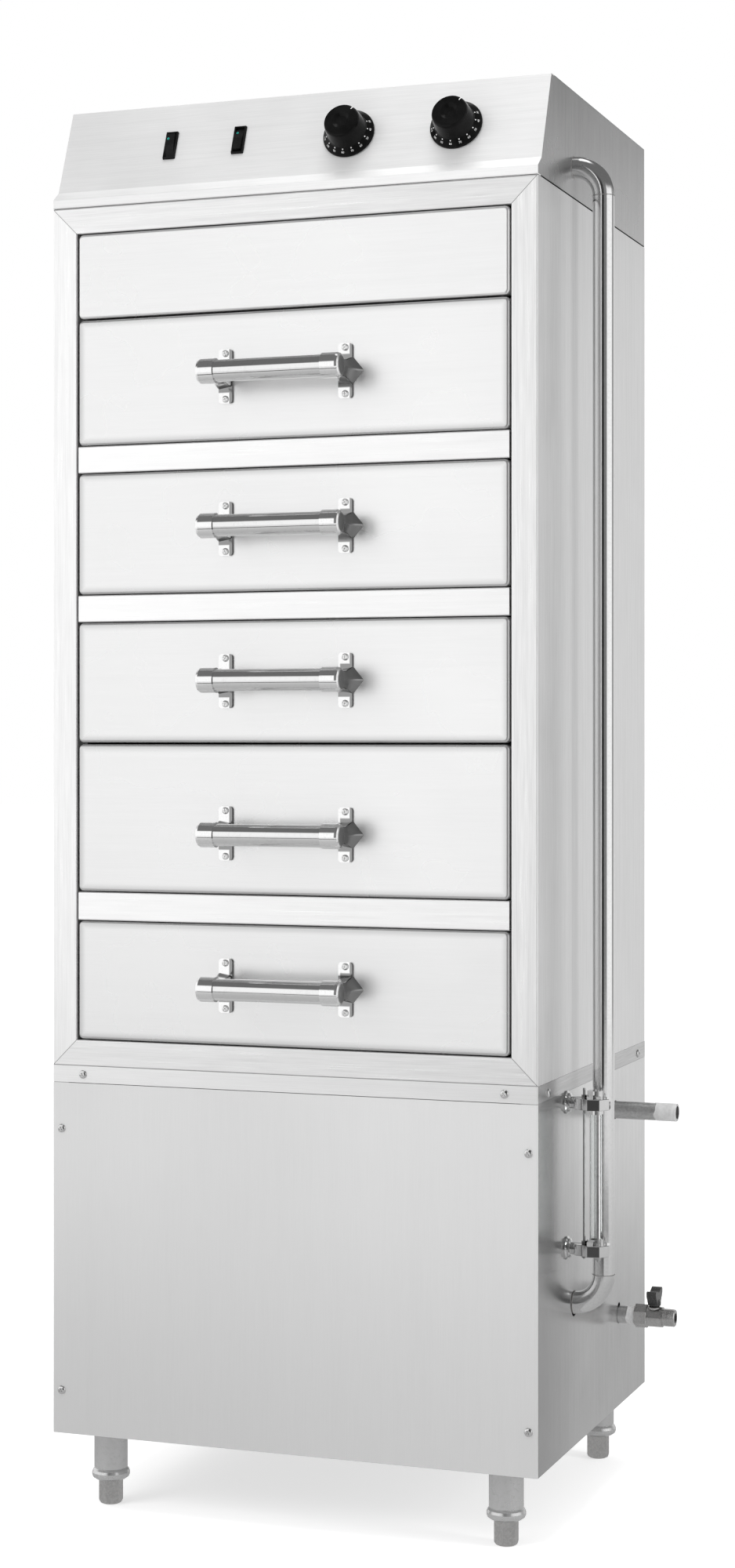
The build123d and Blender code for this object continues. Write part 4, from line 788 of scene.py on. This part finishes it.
# %% Place the screws
FACING_FRONT, FACING_BACK = (math.pi / 2, 0, 0), (-math.pi / 2, 0, 0)
BRACKET_X, TAB_SCREW_Z, TAB_FACE_Y = 74.2, 26.5, -3.0
HANDLE_SCREW = {
    "Head Radius": 0.0041,
    "Head Height": 0.0019,
    "Recess Width": 0.0009,
    "Facing": FACING_FRONT,
    "Material": PALE_SCREW,
}
for number in DRAWERS:
    low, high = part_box(f"drawer_{number}_handle_tube")
    middle = (low + high) / 2
    places = [
        (middle.x + side * BRACKET_X * MM, at(0, TAB_FACE_Y, 0).y, middle.z + up * TAB_SCREW_Z * MM)
        for side in (-1, 1)
        for up in (-1, 1)
    ]
    points = new_mesh(f"handle_screw_points_{number}", places)
    name, settings = f"drawer_{number}_handle_screws", {**HANDLE_SCREW, "Seed": number}
    grow(name, SCREWS, settings, f"drawer_{number}", base=points)

BACK_Y, HOOD_BACK_Y = 485, 482
places = [at(x, BACK_Y, z) for x in (10, 590) for z in range(560, 1540, 160)]
places += [at(x, BACK_Y, z) for x in (14, 300, 586) for z in (108, 492)]
places += [at(x, HOOD_BACK_Y, 1560) for x in (14, 300, 586)]
points = new_mesh("back_screw_points", places)
settings = {"Facing": FACING_BACK, "Seed": 11, "Material": SCREW_STEEL}
back_screws = grow("back_screws", SCREWS, settings, "cabinet", base=points)
print("screw faces:", len(back_screws.data.polygons))

# %% [markdown]
# ## Pipe threads
# The outlet of the drain valve and the inlet stub carry a half-inch pipe thread, 1.8 mm
# from ridge to ridge. A thread is a ridge that follows a spiral, so the tree sweeps a
# small diamond along one.

# %% Thread tree
THREAD_PITCH = 1.8
SPIRAL_STEPS, RIDGE_SIDES = 48, 4
RIGHTWARDS = Matrix.Rotation(math.pi / 2, 4, "Y")
DRAIN_Y, DRAIN_Z = 355, 205
INLET_Y, INLET_Z = 338, 460


def build_thread_tree():
    tree, given, out = geometry_tree("pipe_thread", {
        "Radius": (FLOAT, 0.01015),
        "Pitch": (FLOAT, THREAD_PITCH * MM),
        "Turns": (FLOAT, 7.0),
        "Ridge": (FLOAT, 0.00072),
    })
    spiral = add_node(tree, "GeometryNodeCurveSpiral", {
        "Resolution": SPIRAL_STEPS,
        "Rotations": given["Turns"],
        "Start Radius": given["Radius"],
        "End Radius": given["Radius"],
        "Height": times(tree, given["Pitch"], given["Turns"]),
    }).outputs[0]
    sockets = {"Resolution": RIDGE_SIDES, "Radius": given["Ridge"]}
    ridge = add_node(tree, "GeometryNodeCurvePrimitiveCircle", sockets).outputs[0]
    sockets = {"Curve": spiral, "Profile Curve": ridge, "Fill Caps": True}
    swept = add_node(tree, "GeometryNodeCurveToMesh", sockets).outputs[0]
    return end_tree(tree, out, swept, given)


THREAD = build_thread_tree()
for name, start, y, z, turns, finish, slot in (
    ("valve_outlet_thread", 657.2, DRAIN_Y, DRAIN_Z, 7.2, VALVE_METAL, "valve_metal"),
    ("inlet_thread", 655.0, INLET_Y, INLET_Z, 11.6, DIPPED_PIPE, "zinc"),
):
    place = Matrix.Translation(at(start, y, z)) @ RIGHTWARDS
    grow(name, THREAD, {"Turns": turns, "Material": finish}, "cabinet", place=place)
print("threads grown")

# %% [markdown]
# ## Weld beads
# The straight conduit is butt-welded to its elbows. A weld is a row of small overlapping
# puddles, so the tree sets squashed spheres round a ring, each a little different.


# %% Weld tree
def build_weld_tree():
    tree, given, out = geometry_tree("weld_ring", {
        "Ring Radius": (FLOAT, 0.0127),
        "Bead Radius": (FLOAT, 0.0008),
        "Beads": (INTEGER, 64),
        "Seed": (INTEGER, 5),
    })
    sockets = {"Vertices": given["Beads"], "Radius": given["Ring Radius"]}
    ring = add_node(tree, "GeometryNodeMeshCircle", sockets).outputs[0]
    sockets = {"Radius": given["Bead Radius"], "Subdivisions": 2}
    bead = add_node(tree, "GeometryNodeMeshIcoSphere", sockets).outputs[0]
    sockets = {0: (0.7, 0.7, 0.6), 1: (1.25, 1.25, 1.1), "Seed": given["Seed"]}
    size = add_node(tree, "FunctionNodeRandomValue", sockets, data_type="FLOAT_VECTOR").outputs[0]
    sockets = {"Points": ring, "Instance": bead, "Scale": size}
    placed = add_node(tree, "GeometryNodeInstanceOnPoints", sockets).outputs[0]
    return end_tree(tree, out, placed, given)


WELD = build_weld_tree()
CONDUIT_X, CONDUIT_Y = 635.5, 150
UPWARDS = Matrix.Identity(4)
BUTT_BEAD, TACK_BEAD = 0.0006, 0.0009
for name, x, z, facing, bead in (
    ("conduit_weld_top", CONDUIT_X, 1547.15, UPWARDS, BUTT_BEAD),
    ("conduit_weld_bottom", CONDUIT_X, 294.85, UPWARDS, BUTT_BEAD),
    ("conduit_tack_top", 599.6, 1582.3, RIGHTWARDS, TACK_BEAD),
    ("conduit_tack_bottom", 600.6, 259.7, RIGHTWARDS, TACK_BEAD),
):
    place = Matrix.Translation(at(x, CONDUIT_Y, z)) @ facing
    settings = {"Bead Radius": bead, "Material": WELD_METAL}
    grow(name, WELD, settings, "cabinet", place=place)
print("welds grown")

# %% [markdown]
# ## Thread tape
# White sealing tape is wound over the inlet's thread and the end of the drain nipple. It is
# thin and pulled tight, so it shows the thread through it and has a ragged edge. It follows
# no repeat that a tree would help with, so its rings are worked out point by point.

# %% Tape
TURN = 2 * math.pi
TAPE_AROUND, TAPE_ALONG = 72, 36
TAPE_WIDTH = 5.2
HEM, SHUT_HEM = 0.4, 2.6


def tape_height(x, angle):
    """How far the tape stands out: over the thread, at its own laps, and in wrinkles."""
    thread = 0.13 * math.sin(TURN * x / THREAD_PITCH - angle)
    lap = 0.16 * ((x / TAPE_WIDTH + angle / TURN) % 1.0)
    wrinkle = 0.08 * math.sin(11 * angle + 2.1 * x) + 0.05 * math.sin(23 * angle - 3.3 * x)
    return thread + lap + wrinkle


def tape_sleeve(name, y, z, start, end, radius, wave, shut=False):
    """A wound sleeve of tape along X, with a ragged near edge and a hem at both ends."""
    angles = [TURN * spoke / TAPE_AROUND for spoke in range(TAPE_AROUND)]
    verts, faces = [], []
    for step in range(TAPE_ALONG + 1):
        share = step / TAPE_ALONG
        for angle in angles:
            ragged = math.sin(3 * angle + 0.6) * 0.7 + math.sin(7 * angle) * 0.35
            x = start + (end - start) * share + ragged * (1 - share) * wave
            out = radius + tape_height(x, angle)
            verts.append(at(x, y + out * math.cos(angle), z + out * math.sin(angle)))
    for step in range(TAPE_ALONG):
        for spoke in range(TAPE_AROUND):
            a = step * TAPE_AROUND + spoke
            b = step * TAPE_AROUND + (spoke + 1) % TAPE_AROUND
            faces.append((a, b, b + TAPE_AROUND, a + TAPE_AROUND))
    for ring in (0, TAPE_ALONG):
        base, first = len(verts), ring * TAPE_AROUND
        inner = radius - (SHUT_HEM if shut and ring else HEM)
        for spoke, angle in enumerate(angles):
            hem = at(0, y + inner * math.cos(angle), z + inner * math.sin(angle))
            hem.x = verts[first + spoke].x
            verts.append(hem)
        for spoke in range(TAPE_AROUND):
            after = (spoke + 1) % TAPE_AROUND
            quad = (first + spoke, base + spoke, base + after, first + after)
            faces.append(quad[::-1] if ring else quad)
    mesh = new_mesh(name, verts, faces)
    mesh.materials.append(THREAD_TAPE)
    mesh.shade_smooth()
    return keep(name, mesh, "cabinet")


tape_sleeve("inlet_tape", INLET_Y, INLET_Z, 651.5, 677.6, 10.85, 1.6, shut=True)
tape_sleeve("drain_tape", DRAIN_Y, DRAIN_Z, 611.5, 620.8, 10.75, 1.0)
print("tape wound")

# %% [markdown]
# ## Small caps, and joining meshes
# The dots on the dials and the lenses of the switches are both small round caps: a crown,
# rings round it, and a flat underside. Print is many tiny meshes, which are joined into one
# piece for each dial.


# %% Caps and joins
def cap_mesh(name, crown, rings, sides):
    """A small round cap from its crown's height, and its rings as (radius, height)."""
    verts = [(0, 0, crown)]
    for radius, height in rings:
        for k in range(sides):
            angle = TURN * k / sides
            verts.append((radius * math.cos(angle), radius * math.sin(angle), height))
    faces = [(0, 1 + k, 1 + (k + 1) % sides) for k in range(sides)]
    for ring in range(len(rings) - 1):
        for k in range(sides):
            a, b = 1 + ring * sides + k, 1 + ring * sides + (k + 1) % sides
            faces.append((a, a + sides, b + sides, b))
    faces.append(tuple(range(len(verts) - sides, len(verts)))[::-1])
    return new_mesh(name, verts, faces)


def joined(name, parts, material):
    """One mesh from (mesh, matrix) pairs."""
    verts, faces = [], []
    for mesh, matrix in parts:
        base = len(verts)
        verts += [matrix @ v.co for v in mesh.vertices]
        faces += [tuple(base + i for i in p.vertices) for p in mesh.polygons]
    made = new_mesh(name, verts, faces)
    made.materials.append(material)
    return made


DOT_RADIUS, DOT_HEIGHT = 0.0008, 0.0001
dot = cap_mesh("dot", DOT_HEIGHT, [(DOT_RADIUS * 0.75, DOT_HEIGHT), (DOT_RADIUS, 0.0)], 14)
print("a dot has", len(dot.polygons), "faces")

# %% [markdown]
# ## Marks on the dials
# Each dial has a white pointer line on the edge of its face, and plain numbers with a dot
# over each on its skirt. Print like this is a thin layer of paint, so dots and numbers are
# thin meshes laid on the skirt's cone, turned about the dial's axis one by one.

# %% Dial marks
DIAL_X = (363.8, 494.2)
DIAL_ALONG = 50.4
NUMBERS = ("30", "40", "50", "60", "70", "80", "90", "100", "110")
NUMBER_SIZE, PAINT = 0.0034, 0.00006
FIRST_ANGLE, STEP_ANGLE = math.radians(66.1), math.radians(23.7)
SKIRT_TILT = math.atan2(8.8 - 3.2, 30.6 - 24.3)
DOT_AT, NUMBER_AT = (25.2, 8.02), (28.0, 5.53)
POINTER_ANGLE = math.radians(38)
POINTER_SIDE, POINTER_FROM, POINTER_TO = 0.45, 17.0, 20.4
POINTER_HEIGHTS = (29.2, 30.35)


def number_mesh(text):
    """The plain outline of a number as a thin mesh round its own middle."""
    font = bpy.data.curves.new(f"number_{text}", "FONT")
    font.body = text
    font.size = NUMBER_SIZE
    font.align_x, font.align_y = "CENTER", "CENTER"
    font.extrude = PAINT
    font.resolution_u = 3
    return plain_copy(new_object(f"number_{text}_carrier", font))


def on_skirt(dial_x, angle, radius, height):
    """A matrix on a dial's cone: Y towards the dial's middle, Z out of the cone."""
    spin = on_slope(dial_x, DIAL_ALONG, height, turn=-angle)
    outwards = Matrix.Translation((0, radius * MM, 0)) @ Matrix.Rotation(math.pi, 4, "Z")
    return spin @ outwards @ Matrix.Rotation(SKIRT_TILT, 4, "X")


def pointer_mesh():
    side, near, far = POINTER_SIDE, POINTER_FROM, POINTER_TO
    corners = [(-side, near), (side, near), (side, far), (-side, far)]
    verts = [(x * MM, y * MM, h * MM) for h in POINTER_HEIGHTS for x, y in corners]
    walls = [(k, (k + 1) % 4, (k + 1) % 4 + 4, k + 4) for k in range(4)]
    return new_mesh("pointer", verts, [(3, 2, 1, 0), (4, 5, 6, 7), *walls])


for number, dial_x in enumerate(DIAL_X, 1):
    parts = []
    for index, text in enumerate(NUMBERS):
        angle = FIRST_ANGLE + STEP_ANGLE * index
        parts.append((dot, on_skirt(dial_x, angle, *DOT_AT)))
        parts.append((number_mesh(text), on_skirt(dial_x, angle, *NUMBER_AT)))
    parts.append((pointer_mesh(), on_slope(dial_x, DIAL_ALONG, 0, turn=-POINTER_ANGLE)))
    name = f"dial_{number}_marks"
    keep(name, joined(name, parts, MARK_WHITE), f"dial_{number}")
print("dial marks:", len(NUMBERS), "numbers each")

# %% [markdown]
# ## Lights in the rockers
# Each rocker carries a small green lens near its upper end. It is a low dome that sits in
# the rocker's face, so it rides and tilts with the rocker. The upper half of that face
# falls away from a ridge in its middle, and the lens leans with it.

# %% Rocker lights
SWITCH_X = (138, 225.5)
SWITCH_ALONG = 54.3
ROCKER_PIVOT = -2.0
ROCKER_TILTS = (10.0, -10.0)
RIDGE, FACE_END, FACE_HALF = 6.5, 4.4, 14.9
FACE_LEAN = math.atan2(RIDGE - FACE_END, FACE_HALF)
LENS_ASIDE, LENS_ALONG = -2.6, 8.2
LENS_HEIGHT = RIDGE - (RIDGE - FACE_END) * LENS_ALONG / FACE_HALF
LENS_RADIUS, LENS_RISE = 0.0017, 0.0008
LENS_RINGS, LENS_SIDES = 5, 20

on_rocker = Matrix.Translation(Vector((LENS_ASIDE, LENS_ALONG, LENS_HEIGHT)) * MM)
on_rocker = on_rocker @ Matrix.Rotation(-FACE_LEAN, 4, "X")
slants = [ring / LENS_RINGS * math.pi / 2 for ring in range(1, LENS_RINGS + 1)]
rings = [(LENS_RADIUS * math.sin(slant), LENS_RISE * math.cos(slant)) for slant in slants]
dome = cap_mesh("dome", LENS_RISE, rings, LENS_SIDES)
for number, (switch_x, tilt) in enumerate(zip(SWITCH_X, ROCKER_TILTS), 1):
    pivot = on_slope(switch_x, SWITCH_ALONG, ROCKER_PIVOT)
    tilted = pivot @ Matrix.Rotation(math.radians(tilt), 4, "X")
    lens = joined(f"rocker_{number}_light", [(dome, tilted @ on_rocker)], LENS_GREEN)
    lens.shade_smooth()
    keep(f"rocker_{number}_light", lens, f"rocker_{number}")
print("rocker lights set")

# %% [markdown]
# ## Floor and background
# The cabinet stands on a pale floor in soft white light. The background is white where the
# camera, a reflection or the gauge glass looks at it, and weaker as light on the object. A
# glow is added to the floor in the same way, so that it looks white but keeps the shadow.

# %% World and floor
WORLD_LIGHT = 0.75
FLOOR_SIZE, FLOOR_GLOW, FLOOR_GREY = 30, 0.5, (0.8, 0.8, 0.8, 1)


def seen(tree):
    """1 where the camera, a reflection or a view through glass looks, and 0 for light."""
    rays = add_node(tree, "ShaderNodeLightPath").outputs
    looked = math_node(tree, "MAXIMUM", rays["Is Camera Ray"], rays["Is Glossy Ray"])
    return math_node(tree, "MAXIMUM", looked, rays["Is Transmission Ray"])


def bare_material(name):
    material = bpy.data.materials.new(name)
    material.use_nodes = True
    material.node_tree.nodes.clear()
    return material, material.node_tree


world = bpy.data.worlds.new("studio_world")
bpy.context.scene.world = world
world.use_nodes = True
sky = world.node_tree
sky.nodes.clear()
strength = remap(sky, seen(sky), 0, 1, WORLD_LIGHT, 1.0)
white = add_node(sky, "ShaderNodeBackground", {"Color": (1, 1, 1, 1), "Strength": strength})
add_node(sky, "ShaderNodeOutputWorld", {"Surface": white.outputs[0]})

floor_material, tree = bare_material("studio_floor")
glow = add_node(tree, "ShaderNodeEmission", {"Strength": times(tree, seen(tree), FLOOR_GLOW)})
matte = add_node(tree, "ShaderNodeBsdfDiffuse", {"Color": FLOOR_GREY})
both = add_node(tree, "ShaderNodeAddShader", {0: glow.outputs[0], 1: matte.outputs[0]})
add_node(tree, "ShaderNodeOutputMaterial", {"Surface": both.outputs[0]})

corners = [(-1, -1), (1, -1), (1, 1), (-1, 1)]
floor_corners = [(x * FLOOR_SIZE, y * FLOOR_SIZE, 0) for x, y in corners]
floor_mesh = new_mesh("studio_floor", floor_corners, [(0, 1, 2, 3)])
floor_mesh.materials.append(floor_material)
floor = new_object("studio_floor", floor_mesh)
print("floor and world ready")

# %% [markdown]
# ## Lamps
# A key lamp from the left, a soft one overhead and one at the right give the object its
# shades and the floor its shadow. Reflections don't see them, because polished metal would
# show each one as a hard square.

# %% Lamps
MIDDLE = Vector((0, 0, 0.85))
for name, place, size, power in (
    ("key_left", (-2.4, -3.2, 3.0), (2.0, 2.0), 60),
    ("top_soft", (0.1, -0.7, 3.9), (1.6, 1.6), 50),
    ("side_right", (3.6, -0.35, 1.3), (0.8, 1.6), 48),
):
    data = bpy.data.lights.new(name, "AREA")
    data.shape = "RECTANGLE"
    data.size, data.size_y = size
    data.energy = power
    made = new_object(name, data)
    made.location = place
    made.rotation_euler = (MIDDLE - Vector(place)).to_track_quat("-Z", "Y").to_euler()
    made.visible_glossy = False
print("lamps placed")

# %% [markdown]
# ## The tent
# Polished metal shows what stands round it. In the photograph that is a bright tent with a
# dark gap where the camera looks in, a dark ceiling with a lamp in its middle, and a greyer
# wall behind. One big sphere holds all of it: its glow depends on the direction from the
# cabinet, and only reflections see it, so it casts no light or shadow of its own. Its
# bottom is flattened onto the floor, which a reflection finds greyer than the camera does.

# %% Tent
# Directions are in degrees, 0 in front of the cabinet and 90 at its right. Four numbers are
# two ends and the glow or share at each, and three are two ends and their softness.
WALL = (118, 152, 1.06, 0.76)
FRONT_GAP, FRONT_GAP_GLOW = (-4, 24, 3), 0.03
OTHER_GAPS = (((23, 50, 3), 0.22), ((110, 138, 4), 0.35))
CEILING_RIGHT, CEILING_LEFT, CEILING_SOFT = (120, 150, 30, 20), (-150, -120, 20, 0), 5
CEILING_GLOW, LAMP_EDGE, LAMP_GLOW = 0.16, (73, 81, 0, 1), 1.6
GROUND, GROUND_BEHIND = (0.5, 3.5, 0.5, 0.85), (35, 120, 1, 0.88)
LINE, LINE_IN_FRONT, LINE_GLOW = (2.1, 2.6, 0.1), (60, 80, 1, 0), 0.12
GROUND_GAP, GROUND_GAP_GLOW = (1.2, 1.8, 0, 1), 0.06
GROUND_LIFT, TENT_RADIUS = 0.001, 5.5


def vector_sum(tree, operation, *values):
    sockets = dict(enumerate(values))
    made = add_node(tree, "ShaderNodeVectorMath", sockets, operation=operation)
    return made.outputs["Value" if operation == "LENGTH" else "Vector"]


def wall_glow(tree, turn, rise, behind, in_gap):
    value = layer(tree, ramp(tree, behind, *WALL), in_gap, FRONT_GAP_GLOW)
    for gap, dark in OTHER_GAPS:
        value = layer(tree, value, band(tree, turn, *gap), dark)
    # the ceiling comes lower behind the cabinet at the right, and climbs at the left
    right, left = ramp(tree, turn, *CEILING_RIGHT), ramp(tree, turn, *CEILING_LEFT)
    over = minus(tree, rise, math_node(tree, "ADD", right, left))
    ceiling = ramp(tree, over, -CEILING_SOFT, CEILING_SOFT, 0, 1)
    value = layer(tree, value, ceiling, CEILING_GLOW)
    return layer(tree, value, ramp(tree, rise, *LAMP_EDGE), LAMP_GLOW)


def ground_glow(tree, place, behind, in_gap):
    """The ground is greyer near the cabinet, and greyest behind it."""
    far = vector_sum(tree, "LENGTH", vector_sum(tree, "MULTIPLY", place, (1, 1, 0)))
    value = times(tree, ramp(tree, far, *GROUND), ramp(tree, behind, *GROUND_BEHIND))
    # a dark line on the ground in front is the foot of the tent's opening
    line = times(tree, band(tree, far, *LINE), ramp(tree, behind, *LINE_IN_FRONT))
    value = layer(tree, value, line, LINE_GLOW)
    # the gap is dark on the ground too, some way off
    gap = times(tree, in_gap, ramp(tree, far, *GROUND_GAP))
    return layer(tree, value, gap, GROUND_GAP_GLOW)


def tent_finish():
    material, tree = bare_material("studio_tent")
    place = add_node(tree, "ShaderNodeTexCoord").outputs["Object"]
    offset = vector_sum(tree, "SUBTRACT", place, MIDDLE)
    x, y, z = split(tree, vector_sum(tree, "NORMALIZE", offset))
    turn = math_node(tree, "DEGREES", math_node(tree, "ARCTAN2", x, times(tree, y, -1.0)))
    rise = math_node(tree, "DEGREES", math_node(tree, "ARCSINE", z))
    behind = math_node(tree, "ABSOLUTE", turn)
    in_gap = band(tree, turn, *FRONT_GAP)
    wall = wall_glow(tree, turn, rise, behind, in_gap)
    on_ground = math_node(tree, "LESS_THAN", split(tree, place)[2], 2 * GROUND_LIFT)
    value = layer(tree, wall, on_ground, ground_glow(tree, place, behind, in_gap))
    glow = add_node(tree, "ShaderNodeEmission", {"Strength": value})
    add_node(tree, "ShaderNodeOutputMaterial", {"Surface": glow.outputs[0]})
    return material


maker = bmesh.new()
middle = Matrix.Translation(MIDDLE)
bmesh.ops.create_icosphere(maker, subdivisions=4, radius=TENT_RADIUS, matrix=middle)
for vert in maker.verts:
    vert.co.z = max(vert.co.z, GROUND_LIFT)
tent_mesh = bpy.data.meshes.new("studio_tent")
maker.to_mesh(tent_mesh)
maker.free()
tent_mesh.materials.append(tent_finish())
tent = new_object("studio_tent", tent_mesh)
for kind in ("camera", "diffuse", "transmission", "shadow"):
    setattr(tent, f"visible_{kind}", False)
print("tent pitched")

# %% [markdown]
# ## Closing the lesson
# Standard colours show each grey as it was written.

# %% Close
bpy.context.scene.view_settings.view_transform = "Standard"
